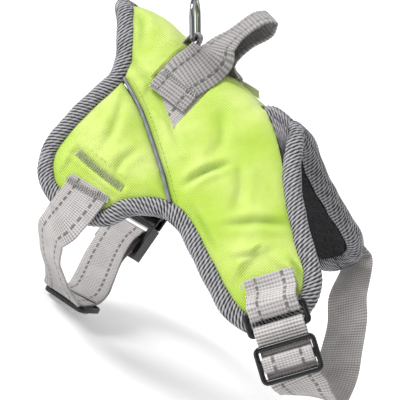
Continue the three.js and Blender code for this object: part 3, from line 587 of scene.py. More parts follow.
def lime_oxford():
    """Polyester oxford: a matt plain weave of flat yarns with a faint sheen at its turning edges, and
    painted shade in its creases and along its seams.
    """
    c = colours()
    surface = {"Roughness": 0.72, "Sheen Weight": 0.5, "Sheen Roughness": 0.4}
    f = Finish("lime_polyester_oxford", surface)
    # yarns lie 0.55 mm apart; drawn every 2 mm along the two diagonals, as coarse as shows
    plus = f.math("ADD", f.u, f.v)
    minus = f.math("SUBTRACT", f.u, f.v)
    weave = f.math("MULTIPLY", f.wave(plus, 2.0), f.wave(minus, 2.0))
    shade = f.ramp(weave, -1.0, 1.0)
    # painted shade: a point attribute laid on the fabric, strongest along its seams and in its creases
    seam_and_crease_shade = add(f.tree, "ShaderNodeAttribute", settings={"attribute_name": "seam_and_crease_shade"}).outputs["Fac"]
    patchy = f.ramp(f.noise(38.0, 4.0), 0.3, 0.7)
    # share of the deeper green: the weave's dark yarns plus the painted shade of seams and creases
    weave_and_shade = f.math("ADD", f.math("MULTIPLY", shade, 0.45), seam_and_crease_shade, clamp=True)
    base = f.blend(weave_and_shade, c.lime, c.lime_weave_and_crease_shade)
    light = f.blend(f.math("MULTIPLY", patchy, 0.45), base, linear("#e8efa0"))
    f.link(light, "Base Color")
    fine = f.noise(900.0, 2.0)
    f.link(f.bump(weave, 0.5, 0.3, f.bump(fine, 0.25, 0.15)), "Normal")
    return f.material


def ribbed_tape(name, light, dark, pitch=None, skew=0.55):
    """Woven elastic tape: raised light yarns with near-black between them, in slanting ribs."""
    f = Finish(name, {"Roughness": 0.62, "Sheen Weight": 0.15})
    pitch = pitch or sizes().rib_pitch / MM
    slant = f.math("ADD", f.u, f.math("MULTIPLY", f.v, skew))
    rib = f.wave(slant, pitch)
    broken = f.wave(f.math("ADD", f.v, f.math("MULTIPLY", f.u, 0.35)), pitch * 1.45)
    cloth = f.math("ADD", rib, f.math("MULTIPLY", broken, 0.45))
    worn = f.noise(260.0, 3.0)
    cloth = f.math("ADD", cloth, f.math("MULTIPLY", f.math("SUBTRACT", worn, 0.5), 1.6))
    share = f.ramp(cloth, -0.85, 0.75)
    f.link(f.blend(share, dark, light), "Base Color")
    f.link(f.bump(rib, 0.6, 0.35), "Normal")
    return f.material


def webbing(name, tone, rib, dashes=True, plain_back=False):
    """Nylon webbing: soft cross ribs, with two rows of reflective dashes."""
    c = colours()
    f = Finish(name, {"Roughness": 0.68, "Sheen Weight": 0.2})
    back = f.math("GREATER_THAN", f.v, 0.03)
    v = f.math("SUBTRACT", f.v, f.math("MULTIPLY", back, BACK * MM))
    across = f.math("ABSOLUTE", v)
    ribs = f.wave(f.u, rib)
    yarn = f.wave(v, 1.6)
    tooth = f.math("MULTIPLY", yarn, 0.5)
    cloth = f.math("ADD", ribs, tooth)
    worn = f.ramp(f.noise(120.0, 4.0), 0.35, 0.65)
    dark = tuple(x * 0.42 for x in tone)
    share = f.ramp(f.math("ADD", cloth, f.math("MULTIPLY", worn, 0.5)), -1.4, 1.2)
    base = f.blend(share, dark, tone)
    if dashes:
        # dashes 2.6 mm long and 1.3 mm wide, every 4 mm, 6.9 mm from the middle
        phase = f.math("FRACT", f.math("DIVIDE", f.u, 4 * MM))
        run = f.math("MULTIPLY", f.ramp(phase, 0.06, 0.14), f.ramp(phase, 0.80, 0.70))
        away = f.math("ABSOLUTE", f.math("SUBTRACT", across, 6.9 * MM))
        row = f.ramp(away, 0.95 * MM, 0.6 * MM)
        spot = f.math("MULTIPLY", run, row)
        if plain_back:
            spot = f.math("MULTIPLY", spot, f.math("SUBTRACT", 1.0, back))
        base = f.blend(f.math("MULTIPLY", spot, 0.8), base, c.dashes)
    f.link(base, "Base Color")
    f.link(f.bump(cloth, 0.45, 0.22), "Normal")
    return f.material


def moulded_acetal():
    """Injection-moulded acetal: black, slightly waxy, with a soft broad highlight."""
    surface = {"IOR": 1.48, "Base Color": (*colours().plastic, 1)}
    f = Finish("black_moulded_acetal", surface)
    f.link(f.ramp(f.noise(90.0, 3.0), -0.6, 2.6), "Roughness")
    f.link(f.bump(f.noise(1400.0, 1.0), 0.08, 0.05), "Normal")
    return f.material


def plated_wire():
    """Chromed steel wire: a mirror, a little hazed where the hook rubs, its colour dimmed as a painted
    reflection of dark surroundings.
    """
    f = Finish("chromed_steel", {"Metallic": 1.0, "Base Color": (*colours().chrome_painted_reflection, 1)})
    f.link(f.math("MULTIPLY", f.noise(160.0, 4.0), 0.32), "Roughness")
    return f.material


def spacer_mesh():
    """Knitted spacer mesh: small round holes in a black fuzzy ground."""
    f = Finish("black_spacer_mesh", {"Roughness": 0.95})
    cells = add(f.tree, "ShaderNodeTexVoronoi", {"Scale": 480.0}, {"Vector": f.uv}).outputs[0]
    fuzz = f.noise(420.0, 5.0)
    share = f.ramp(f.math("MULTIPLY", cells, fuzz), 0.05, 0.35)
    f.link(f.blend(share, linear("#050506"), linear("#202023")), "Base Color")
    f.link(f.bump(f.math("ADD", cells, fuzz), 0.8, 0.6), "Normal")
    return f.material


def reflective_cord():
    """Glass-bead reflective film over cord: grey, with a fine embossed grid."""
    f = Finish("reflective_piping_film", {"Roughness": 0.4, "Metallic": 0.25})
    grid = f.math("MULTIPLY", f.wave(f.u, 1.0), f.wave(f.v, 1.0))
    share = f.ramp(f.math("ADD", grid, f.noise(200.0, 2.0)), -0.4, 1.6)
    f.link(f.blend(share, linear("#63666c"), colours().piping), "Base Color")
    f.link(f.bump(grid, 0.3, 0.15), "Normal")
    return f.material


def closed_foam():
    """Polyethylene foam sheet: dark, dry and faintly pitted."""
    f = Finish("dark_polyethylene_foam", {"Roughness": 0.95})
    pits = f.noise(700.0, 3.0)
    f.link(f.blend(pits, linear("#26272a"), linear("#46474b")), "Base Color")
    f.link(f.bump(pits, 0.4, 0.3), "Normal")
    return f.material


def thread(name, value):
    """Bonded polyester thread: twisted, with a slight gloss."""
    f = Finish(name, {"Roughness": 0.5})
    twist = f.noise(1200.0, 2.0)
    f.link(f.blend(twist, tuple(x * 0.7 for x in linear(value)), linear(value)), "Base Color")
    return f.material


def woven_label():
    """Satin woven label, left blank, with a red line along its fold."""
    f = Finish("white_woven_label", {"Roughness": 0.6, "Sheen Weight": 0.2})
    line = f.ramp(f.math("ABSOLUTE", f.math("SUBTRACT", f.v, 3.2 * MM)), 0.7 * MM, 0.4 * MM)
    ribs = f.wave(f.u, 0.8)
    white = f.blend(f.ramp(ribs, -1.5, 1.0), linear("#d9d6d0"), linear("#f7f5f0"))
    f.link(f.blend(line, white, linear("#e2482c")), "Base Color")
    return f.material


FINISHES = {}


def finish(key):
    """Each finish is made once, when a piece first asks for it."""
    if key not in FINISHES:
        c = colours()
        makers = {
            "lime": lime_oxford,
            "tape": lambda: ribbed_tape("elastic_binding_tape", c.tape_light, c.tape_dark),
            "yoke": lambda: ribbed_tape(
                "ribbed_yoke_knit", linear("#a09ca2"), linear("#2c2a2f"), 2.4, 0.25
            ),
            "web": lambda: webbing("nylon_webbing", c.webbing, 1.1),
            "web_bold": lambda: webbing("nylon_webbing_bold", c.webbing, 2.0),
            "web_plain": lambda: webbing("nylon_webbing_plain_back", c.webbing, 1.6, plain_back=True),
            "web_handle": lambda: webbing(
                "nylon_handle_webbing", tuple(x * 0.72 for x in c.webbing), 2.0
            ),
            "plastic": moulded_acetal,
            "chrome_painted_reflection": plated_wire,
            "mesh": spacer_mesh,
            "piping": reflective_cord,
            "foam": closed_foam,
            "grey_thread": lambda: thread("grey_polyester_thread", "#a9a7a8"),
            "light_thread": lambda: thread("light_polyester_thread", "#d8d6d4"),
            "lime_thread": lambda: thread("lime_polyester_thread", "#a9d02c"),
            "label": woven_label,
        }
        FINISHES[key] = makers[key]()
    return FINISHES[key]


# ---------- repeated stitches, as geometry nodes ----------


def node_tree(name, inputs):
    tree = bpy.data.node_groups.new(name, "GeometryNodeTree")
    for label, kind in (("Geometry", "NodeSocketGeometry"), *inputs):
        tree.interface.new_socket(label, in_out="INPUT", socket_type=kind)
    tree.interface.new_socket("Geometry", in_out="OUTPUT", socket_type="NodeSocketGeometry")
    return tree, add(tree, "NodeGroupInput").outputs


def close_tree(tree, geometry, material):
    real = add(tree, "GeometryNodeRealizeInstances", links={0: geometry})
    smooth = add(tree, "GeometryNodeSetShadeSmooth", links={0: real.outputs[0]})
    painted = add(tree, "GeometryNodeSetMaterial",
                  links={"Geometry": smooth.outputs[0], "Material": material})
    add(tree, "NodeGroupOutput", links={0: painted.outputs[0]})
    return tree


def stitch_tree():
    """Short lengths of thread laid end to end along lines."""
    floats = [(n, "NodeSocketFloat") for n in ("Pitch", "Length", "Radius")]
    tree, given = node_tree("running_stitch", [*floats, ("Material", "NodeSocketMaterial")])
    curve = add(tree, "GeometryNodeMeshToCurve", links={0: given["Geometry"]})
    dots = add(tree, "GeometryNodeResampleCurve", settings={"mode": "LENGTH"},
               links={"Curve": curve.outputs[0], "Length": given["Pitch"]})
    tangent = add(tree, "GeometryNodeInputTangent")
    turn = add(tree, "FunctionNodeAlignRotationToVector", links={"Vector": tangent.outputs[0]},
               settings={"axis": "Z"})
    half = add(tree, "ShaderNodeMath", {1: 0.5}, {0: given["Length"]}, {"operation": "MULTIPLY"})
    radius = given["Radius"]
    scale = add(tree, "ShaderNodeCombineXYZ", links={0: radius, 1: radius, 2: half.outputs[0]})
    bead = add(tree, "GeometryNodeMeshUVSphere", {"Segments": 6, "Rings": 4, "Radius": 1.0})
    laid = add(tree, "GeometryNodeInstanceOnPoints", links={
        "Points": dots.outputs[0], "Instance": bead.outputs[0], "Rotation": turn.outputs[0],
        "Scale": scale.outputs[0]})
    return close_tree(tree, laid.outputs[0], given["Material"])


def cord_tree():
    """One continuous thread along lines, as in a bartack."""
    inputs = [("Radius", "NodeSocketFloat"), ("Material", "NodeSocketMaterial")]
    tree, given = node_tree("bartack_thread", inputs)
    curve = add(tree, "GeometryNodeMeshToCurve", links={0: given["Geometry"]})
    ring = add(tree, "GeometryNodeCurvePrimitiveCircle", {"Resolution": 6}, {"Radius": given["Radius"]})
    cord = add(tree, "GeometryNodeCurveToMesh", {"Fill Caps": True},
               {"Curve": curve.outputs[0], "Profile Curve": ring.outputs[0]})
    return close_tree(tree, cord.outputs[0], given["Material"])


TREES = {}


def sewn(name, lines, kind, key, slot, nodes=(), body=BODY, scale=1.0):
    """Stitches or a bartack along lines of points in millimetres, as one plain mesh."""
    if kind not in TREES:
        TREES[kind] = stitch_tree() if kind == "stitch" else cord_tree()
    tree, z = TREES[kind], sizes()
    verts = np.concatenate([np.asarray(x, float) for x in lines]) * MM
    edges, start = [], 0
    for line in lines:
        edges += [(start + k, start + k + 1) for k in range(len(line) - 1)]
        start += len(line)
    mesh = bpy.data.meshes.new(name + "_line")
    mesh.from_pydata(verts.tolist(), edges, [])
    holder = bpy.data.objects.new(name + "_line", mesh)
    bpy.context.scene.collection.objects.link(holder)
    modifier = holder.modifiers.new("sewing", "NODES")
    modifier.node_group = tree
    values = {"Pitch": z.stitch_pitch, "Length": z.stitch_length, "Radius": z.thread * scale,
              "Material": finish(key)}
    for item in tree.interface.items_tree:
        if item.in_out == "INPUT" and item.name in values:
            modifier[item.identifier] = values[item.name]
    evaluated = holder.evaluated_get(bpy.context.evaluated_depsgraph_get())
    plain = bpy.data.meshes.new_from_object(evaluated)
    bpy.data.objects.remove(holder)
    plain.name = name
    if not plain.materials:
        plain.materials.append(finish(key))
    obj = bpy.data.objects.new(name, plain)
    bpy.context.scene.collection.objects.link(obj)
    return done(obj, slot, *nodes, body=body)


def zigzag(points, width, pitch):
    """A zigzag in pattern coordinates along a line, as wide and as close as a bartack is."""
    path = Path(points)
    count = max(4, 2 * round(path.length / pitch))
    share = np.linspace(0, 1, count + 1)
    p = path.even(share)
    d = unit(np.gradient(p, axis=0))
    out = np.stack([-d[:, 1], d[:, 0]], -1)
    return p + out * (np.where(np.arange(count + 1) % 2, 0.5, -0.5) * width)[:, None]


def lifted(points, height):
    p = np.asarray(points, float)
    return place(p[:, 0], p[:, 1], height)


# ---------- the padded saddle ----------


def distance(flat, line):
    """How far each pattern point lies from a line, and where along it the nearest point is."""
    path = Path(line)
    count = max(8, int(path.length / 0.8))
    share = np.linspace(0, 1, count)
    p = path.even(share)
    grid = flat.reshape(-1, 2)
    best = np.full(len(grid), 1e9)
    where = np.zeros(len(grid))
    for k in range(0, len(grid), 4000):
        d = np.linalg.norm(grid[k : k + 4000, None] - p[None], axis=-1)
        j = d.argmin(1)
        best[k : k + 4000] = d[np.arange(len(j)), j]
        where[k : k + 4000] = share[j]
    shape = flat.shape[:-1]
    return best.reshape(shape), where.reshape(shape)


# folds in the fabric: the line in pattern coordinates, its depth and its width
CREASES = [
    (((-73, 30), (-61, 33), (-47, 36), (-30, 44), (-15, 53)), 1.0, 3.2),
    (((0, 66), (4, 54), (11, 43)), 1.3, 3.0),
    (((30, 69), (43, 57), (55, 48)), 1.1, 3.4),
    (((67, 62), (74, 64.5), (80, 68)), 1.2, 2.2),
    (((-58, 50), (-50, 66), (-47, 78)), 0.7, 4.0),
    (((-32, 66), (-34, 78), (-30, 90)), 0.7, 3.6),
    (((14, 40), (24, 50), (30, 62)), 0.6, 4.5),
    (((44, 80), (52, 72), (58, 64)), 0.8, 3.0),
    (((-88, 8), (-78, 14), (-68, 24)), 0.6, 3.5),
    (((-12, 24), (-2, 34), (2, 46)), 0.5, 4.5),
    (((10, 72), (22, 76), (36, 82)), 0.7, 2.6),
]

# places where something is sewn down on the fabric: s and t ranges
PRESSED = [
    ((-53, -24), (-47, 47)),
    ((50, 88), (-100, -66)),
    ((-60, -22), (-112, -90)),
    ((58, 90), (72, 100)),
    ((-60, -28), (62, 112)),
    ((-18, -4), (3, 17)),
    ((-61, -21), (-92, -82)),
    ((-61, -21), (82, 92)),
]


def pressed(s, t):
    """1 where nothing lies on the fabric, falling to 0 under what is sewn to it."""
    free = np.ones_like(s)
    for (s0, s1), (t0, t1) in PRESSED:
        inside = ramp((s - s0) / 4) * ramp((s1 - s) / 4) * ramp((t - t0) / 4) * ramp((t1 - t) / 4)
        free = free * (1 - inside)
    return free


def fabric_height(flat, seams):
    """Height of padded fabric over a grid of pattern points, and the painted shade along its seams and
    in its creases.
    """
    z = sizes()
    s, t = flat[..., 0], flat[..., 1]
    away = np.full(s.shape, 1e9)
    for line in seams:
        away = np.minimum(away, distance(flat, line)[0])
    puff, tuck = z.puff / MM, z.tuck / MM
    free = pressed(s, t)
    height = puff * (1 - np.exp(-((away / 8.0) ** 1.5))) * free - tuck * np.exp(-away / 1.6)
    # painted shade, strongest along the seams
    seam_and_crease_shade = 0.35 * np.exp(-away / 1.8)
    for side in (-1, 1):
        for line, depth, width in CREASES:
            points = np.array(line, float) * (1, side)
            d, along = distance(flat, points)
            fade = np.sin(np.clip(along, 0.02, 0.98) * math.pi) ** 0.6
            dip = np.exp(-((d / (0.55 * width)) ** 2)) * fade
            shoulder = np.exp(-(((d - 1.35 * width) / (0.7 * width)) ** 2)) * fade
            height = height + depth * (0.9 * shoulder - 1.9 * dip) * free
            # more painted shade down the middle of each crease
            seam_and_crease_shade = seam_and_crease_shade + 0.45 * dip * depth
    wander = np.sin(s * 0.21 + 1.3 * np.sin(t * 0.13)) * np.sin(t * 0.19 + 0.7 * np.sin(s * 0.11 + 1))
    small = np.sin(s * 0.62 + np.sin(t * 0.5)) * np.sin(t * 0.55 + 2 * np.sin(s * 0.17))
    height = height + (0.38 * wander + 0.12 * small) * free * ramp(away / 8)
    return np.where(free < 0.999, np.minimum(height, 1.6 * free), height), seam_and_crease_shade


def fabric(name, flat, seams, node):
    height, seam_and_crease_shade = fabric_height(flat, seams)
    obj = slab(name, flat, height, height - SHELL, finish("lime"))
    # the painted shade goes onto both faces of the fabric as a point attribute
    layer = obj.data.attributes.new("seam_and_crease_shade", "FLOAT", "POINT")
    layer.data.foreach_set("value", np.concatenate([seam_and_crease_shade.ravel()] * 2).astype(np.float32))
    done(obj, "lime_oxford", node)
    return obj


def ring_of(flat):
    return [flat[:, 0], flat[-1], flat[:, -1], flat[0]]


def layer(name, node, low, high, key, slot, inset):
    """One of the two inner layers, in three pieces under the outer panels: the back and both girth
    panels.
    """
    pad = edge_run(AT_CHEST_REAR, AT_NECK, -inset, 18)
    parts = [main_patch(1.0, pad, 90, 120)] + [girth_patch(k, -1.0, 30, 30) for k in (-1, 1)]
    made = []
    for k, flat in enumerate(parts):
        away = np.full(flat.shape[:2], 1e9)
        for line in ring_of(flat):
            away = np.minimum(away, distance(flat, line)[0])
        bottom = low - 0.1 * k + 0.0 * away
        if key == "mesh":
            swell = 0.8 * (1 - np.exp(-away / 7))
            wave = 0.3 * np.sin(flat[..., 0] * 0.3 + np.sin(flat[..., 1] * 0.2)) * ramp(away / 6)
            bottom = bottom - swell - wave
        word = ("back", "right", "left")[k]
        made.append(slab(f"{name}_{word}", flat, high - 0.1 * k, bottom, finish(key)))
    for obj in made:
        done(obj, slot)
    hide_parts(node)
    return made


class HARNESS_OT_saddle(bpy.types.Operator):
    """Build the outer fabric, the padding and the mesh lining of the saddle"""

    bl_idname = "harness.saddle"
    bl_label = "Padded saddle"

    def execute(self, context):
        front = np.concatenate([edge_run(AT_CHEST_REAR, AT_YOKE, -EDGE_GAP, 10), YOKE_LINE])
        flat = main_patch(-SEAM, front, 170, 210)
        fabric("saddle_fabric", flat, ring_of(flat), "saddle_panel")
        for side, word in ((-1, "right"), (1, "left")):
            flat = girth_patch(side, SEAM, 80, 80)
            fabric(f"girth_fabric_{word}", flat, ring_of(flat), f"girth_panel_{word}")
        high = -SHELL - 2 * GAP
        for pad in layer("padding", "saddle_foam", high - FOAM, high - 0.6, "foam", "padding", 1.0):
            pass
        for cloth in layer("lining", "mesh_lining", LOW, LOW + LINING, "mesh", "black_mesh", 1.0):
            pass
        return {"FINISHED"}


class HARNESS_OT_yoke(bpy.types.Operator):
    """Build the ribbed yoke on the ridge and the blank label beside it"""

    bl_idname = "harness.yoke"
    bl_label = "Neck yoke and label"

    def execute(self, context):
        rear = np.concatenate([edge_run(AT_YOKE + 0.45, AT_YOKE + 0.45, -EDGE_GAP - 0.3, 0),
                               YOKE_LINE + (0.6, 0)])
        ahead = edge_run(AT_YOKE + 0.5, AT_NECK, -EDGE_GAP, 5)
        both = [np.concatenate([h, mirrored(h)[::-1][1:]]) for h in (rear, ahead)]
        ends = Path([rear[0], ahead[0]])
        flat = coons(Path(both[0]), Path(both[1]), ends, Path(mirrored([rear[0], ahead[0]])), 40, 160)
        away = np.minimum(distance(flat, flat[0])[0], distance(flat, flat[-1])[0])
        strip = np.linspace(0, 17, 41)[:, None] + 0 * flat[..., 1]
        rib = 0.3 * np.cos(strip * 2 * math.pi / 2.4 + 0.8 * np.sin(flat[..., 1] * 1.6))
        top = 1.3 * (1 - np.exp(-away / 2.5)) + rib - 0.3
        yoke = slab("neck_yoke_knit", flat, top, -SHELL, finish("yoke"))
        share = np.concatenate([np.stack([strip, flat[..., 1]], -1).reshape(-1, 2)] * 2) * MM
        corners = np.zeros(len(yoke.data.loops), int)
        yoke.data.loops.foreach_get("vertex_index", corners)
        yoke.data.uv_layers["cloth"].data.foreach_set("uv", share[corners].ravel())
        done(yoke, "ribbed_tape", "neck_yoke")
        across = unit(place(0, 11) - place(0, 9))
        start = YOKE_REAR - 13
        lifts = ((-1, 0), (0, 0.6), (1, 0.9))
        rows = [(place(start + k * 5.5, 8, 3.0 + lift), across) for k, lift in lifts]
        label = band("blank_label", rows, finish("label"), width=9, thick=0.5, rib=0.8, depth=0.02)
        done(label, "white_label", "size_label")
        return {"FINISHED"}


# ---------- binding and piping ----------


def binding(name, start, stop, node):
    """Tape rolled round the edge, with its slanting ribs raised."""
    z = sizes()
    cut = 0.02
    reach = abs(stop - start) / STATIONS * EDGE.length
    count = int(reach / 0.36)
    stations = np.linspace(start + cut, stop - cut, count)
    sides = 26
    turn = np.linspace(0, 2 * math.pi, sides, endpoint=False)
    half, high = z.roll / MM / 2, 0.5 * (-LOW + 2.3)
    power = 0.75
    out = 3.7 + half * np.sign(np.cos(turn)) * np.abs(np.cos(turn)) ** power
    rise = LOW / 2 + 0.15 + high * np.sign(np.sin(turn)) * np.abs(np.sin(turn)) ** power
    base = edge(stations)
    run = np.concatenate([[0], np.cumsum(np.linalg.norm(np.diff(base, axis=0), axis=1))])
    round_run = np.concatenate([[0], np.cumsum(np.hypot(np.diff(out), np.diff(rise)))])
    phase = (run[:, None] + 0.55 * round_run[None]) * 2 * math.pi / (z.rib_pitch / MM)
    swell = 0.16 * np.sin(phase) + 0.15 * np.sin(run * 0.35)[:, None]
    scale = 1 + swell / 4.5
    o = 3.7 + (out - 3.7)[None] * scale
    h = LOW / 2 + 0.15 + (rise - LOW / 2 - 0.15)[None] * scale
    flat = edge(stations[:, None] + np.zeros_like(o), o)
    rings = place(flat[..., 0], flat[..., 1], h)
    whole = np.hypot(out[0] - out[-1], rise[0] - rise[-1])
    spans = list(zip(round_run, [*round_run[1:], round_run[-1] + whole]))
    obj = sweep(name, rings, spans, finish("tape"), smooth=180)
    done(obj, "ribbed_tape", node)
    return obj


class HARNESS_OT_bindings(bpy.types.Operator):
    """Build the four lengths of rolled tape round the edge"""

    bl_idname = "harness.bindings"
    bl_label = "Edge bindings"

    def execute(self, context):
        binding("rear_roll", -AT_GIRTH_END, AT_GIRTH_END, "rear_binding")
        binding("leg_roll_right", AT_GIRTH_END, AT_CHEST_END, "leg_binding_right")
        binding("neck_roll", AT_CHEST_END, STATIONS - AT_CHEST_END, "neck_binding")
        binding("leg_roll_left", STATIONS - AT_CHEST_END, STATIONS - AT_GIRTH_END, "leg_binding_left")
        return {"FINISHED"}


class HARNESS_OT_piping(bpy.types.Operator):
    """Build the reflective piping in the seam of each flank"""

    bl_idname = "harness.piping"
    bl_label = "Reflective piping"

    def execute(self, context):
        for side, word in ((-1, "right"), (1, "left")):
            path = Path(piping_run(side, 0))
            p = path.even(np.linspace(0.0, 1.0, 150))
            wobble = 0.5 + 0.12 * np.sin(np.linspace(0, 60, 150))
            points = place(p[:, 0], p[:, 1], wobble)
            obj = tube(f"piping_cord_{word}", points, 1.0, finish("piping"), guide=(0, side, 0.5))
            done(obj, "reflective_piping", f"piping_{word}")
        return {"FINISHED"}


# ---------- webbing over the ridge ----------


def hang(x, y, z, turn, tilt=0.0):
    """A band's row in mid-air: its width turned about the vertical, then tilted up at the front."""
    a = math.radians(turn)
    w = np.array([math.cos(a), math.sin(a), math.tan(math.radians(tilt))])
    return np.array([x, y, z], float), unit(w)


X = np.array([1.0, 0, 0])


class HARNESS_OT_ridge_webbing(bpy.types.Operator):
    """Build the cross strap, the handle and the tab of the leash ring"""

    bl_idname = "harness.ridge_webbing"
    bl_label = "Cross strap, handle and ring tab"

    def execute(self, context):
        half = CROSS_WIDTH / 2
        share = np.linspace(-1, 1, 221)[:, None]
        across = np.linspace(-1, 1, 17)[None]
        t = share * mix(31.0, 46.0, (across + 1) / 2)
        s = CROSS_S + across * half + 0 * share
        flat = np.stack([s, t], -1)
        rib = 0.1 * np.cos(t * 2 * math.pi / 2.0)
        strap = slab("cross_strap_web", flat, GAP + THICK + rib, GAP - 0.2, finish("web"))
        layer = strap.data.uv_layers["cloth"]
        values = np.zeros(len(strap.data.loops) * 2)
        layer.data.foreach_get("uv", values)
        uv = values.reshape(-1, 2)[:, ::-1] - (0, CROSS_S * MM)
        layer.data.foreach_set("uv", uv.ravel())
        done(strap, "webbing", "cross_strap")

        over = GAP + THICK + GAP + THICK / 2

        def flank(t, extra=0.0):
            return place(CROSS_S, t, over + extra), X

        c = CROSS_S
        rows = [
            flank(-HANDLE_END), flank(-HANDLE_END + 7, 0.3), flank(-HANDLE_END + 12.5, 0.8),
            hang(c + 4, -16.5, 2, 0, -46), hang(c + 3, -8.5, 12.5, -46, -12), hang(c + 5, -3, 24, -52),
            hang(c + 9, 1, HANDLE_RISE - 3, -52),
            hang(c + 13, 5, HANDLE_RISE, -52), hang(c + 14.5, 6.5, HANDLE_RISE - 6, -52),
            hang(c + 10, 3, 23, -50), hang(c + 6.5, 1, 14, -42), hang(c + 5, 6, 7.5, -30),
            hang(c + 4, 13, 4, -18), hang(c + 1.5, 20, 0, -8),
            flank(HANDLE_END - 10, 1.2), flank(HANDLE_END - 5, 0.3), flank(HANDLE_END),
        ]
        handle = band("handle_web", rows, finish("web_handle"), rib=2.0, depth=0.16, sag=-0.5)
        done(handle, "webbing", "handle")

        tab_x, tab_z, turn_r = CROSS_S - half - 1.5, 7.0, 2.75
        arc = [(-turn_r * math.cos(a), tab_z + turn_r * math.sin(a))
               for a in np.linspace(0, math.pi, 7)]
        side_view = [(-6.5, -0.2), (-4.6, 0.8), (-3.2, 3.5), *arc, (3.0, 3.5), (3.4, 0.4), (4.4, -0.8)]
        w = np.array([-math.sin(RING_TURN), math.cos(RING_TURN), 0])
        ahead = np.array([math.cos(RING_TURN), math.sin(RING_TURN), 0])
        rows = [(np.array([tab_x, 0, 0]) + ahead * x + np.array([0, 0, z]), w) for x, z in side_view]
        tab = band("ring_tab_web", rows, finish("web_handle"), width=14, rib=2.0, depth=0.12, step=0.4)
        done(tab, "webbing", "d_ring_tab")
        return {"FINISHED"}


class HARNESS_OT_leash_ring(bpy.types.Operator):
    """Build the leash ring of round wire"""

    bl_idname = "harness.leash_ring"
    bl_label = "Leash ring"

    def execute(self, context):
        half, top = 10.0, 11.0
        corner = 1.6
        path = [(0.0, 0.0), (half - corner, 0.0)]
        path += [(half - corner + corner * math.sin(a), corner - corner * math.cos(a))
                 for a in np.linspace(0.2, math.pi / 2, 6)]
        path += [(half, k) for k in np.linspace(corner + 0.8, top, 8)]
        path += [(half * math.cos(a), top + half * math.sin(a))
                 for a in np.linspace(0.06, math.pi / 2, 22)]
        path += [(-x, y) for x, y in path[-2:0:-1]]
        across = np.array([-math.sin(RING_TURN), math.cos(RING_TURN), 0])
        back = np.array([math.cos(RING_TURN), math.sin(RING_TURN), 0])
        up = -math.sin(RING_LEAN) * back + np.array([0, 0, math.cos(RING_LEAN)])
        origin = np.array([CROSS_S - CROSS_WIDTH / 2 - 1.5, 0, 7.0])
        points = np.array([origin + across * x + up * y for x, y in path])
        guide = np.cross(across, up)
        ring = tube("leash_ring_wire", points, sizes().wire / MM, finish("chrome_painted_reflection"),
                    closed=True, sides=20, guide=guide)
        done(ring, "chrome_wire", "d_ring", body="leash_ring")
        return {"FINISHED"}


# ---------- moulded plates ----------


def round_rect(width, height, radius, steps=5):
    x, y = width / 2 - radius, height / 2 - radius
    points = []
    for cx, cy, start in ((x, -y, -90), (x, y, 0), (-x, y, 90), (-x, -y, 180)):
        for a in np.radians(np.linspace(start, start + 90, steps)):
            points.append((cx + radius * math.cos(a), cy + radius * math.sin(a)))
    return points


def plate(name, outlines, thick, matrix):
    """A flat moulded plate with holes and rounded edges, placed by a matrix in millimetres."""
    r = sizes().edge_round / MM
    data = bpy.data.curves.new(name, "CURVE")
    data.dimensions = "2D"
    data.fill_mode = "BOTH"
    for outline in outlines:
        spline = data.splines.new("POLY")
        spline.points.add(len(outline) - 1)
        for point, (x, y) in zip(spline.points, outline):
            point.co = (x * MM, y * MM, 0, 1)
        spline.use_cyclic_u = True
    data.extrude = (thick / 2 - r) * MM
    data.bevel_depth = r * MM
    data.bevel_resolution = 3
    data.offset = -r * MM
    holder = bpy.data.objects.new(name + "_outline", data)
    bpy.context.scene.collection.objects.link(holder)
    mesh = bpy.data.meshes.new_from_object(holder.evaluated_get(bpy.context.evaluated_depsgraph_get()))
    bpy.data.objects.remove(holder)
    placed = Matrix(matrix.tolist())
    placed.translation = placed.translation * MM
    mesh.transform(placed)
    mesh.name = name
    mesh.materials.clear()
    mesh.materials.append(finish("plastic"))
    mesh.polygons.foreach_set("use_smooth", [True] * len(mesh.polygons))
    mesh.set_sharp_from_angle(angle=math.radians(50))
    obj = bpy.data.objects.new(name, mesh)
    bpy.context.scene.collection.objects.link(obj)
    return obj


def local(origin, across, along):
    """The matrix of a plane of straps: x across the webbing, y along it, z outwards."""
    m = np.eye(4)
    m[:3, 0], m[:3, 1], m[:3, 2], m[:3, 3] = across, along, np.cross(across, along), origin
    return m


def inside(matrix, x, y, z):
    return (matrix @ np.array([x, y, z, 1.0]))[:3]


def fold(bar, start):
    """Side view of webbing folded round a bar."""
    turns = [-0.5, -0.375, -0.25, -0.125, 0, 0.125, 0.25, 0.375, 0.5]
    return [(bar - start * WRAP * math.cos(k * math.pi), WRAP * math.sin(k * math.pi)) for k in turns]


# a tri-glide for 25 mm webbing
SLIDER_LENGTH = 31.0
SLIDER_WIDTH = 19.0
SLIDER_CORNER = 3.4
SLIDER_THICK = 3.4
SLIDER_SIDES = 4.8  # both side rails together
SLIDER_EDGE_BAR = 2.8
SLIDER_MIDDLE_BAR = 4.0
SLOT_CORNER = 0.9


def slider_outlines():
    slot = (SLIDER_WIDTH - SLIDER_MIDDLE_BAR) / 2 - SLIDER_EDGE_BAR
    reach = SLIDER_LENGTH - SLIDER_SIDES
    holes = []
    for side in (-1, 1):
        middle = side * (SLIDER_MIDDLE_BAR + slot) / 2
        holes.append([(x, y + middle) for x, y in round_rect(reach, slot, SLOT_CORNER)])
    return [round_rect(SLIDER_LENGTH, SLIDER_WIDTH, SLIDER_CORNER), *holes]


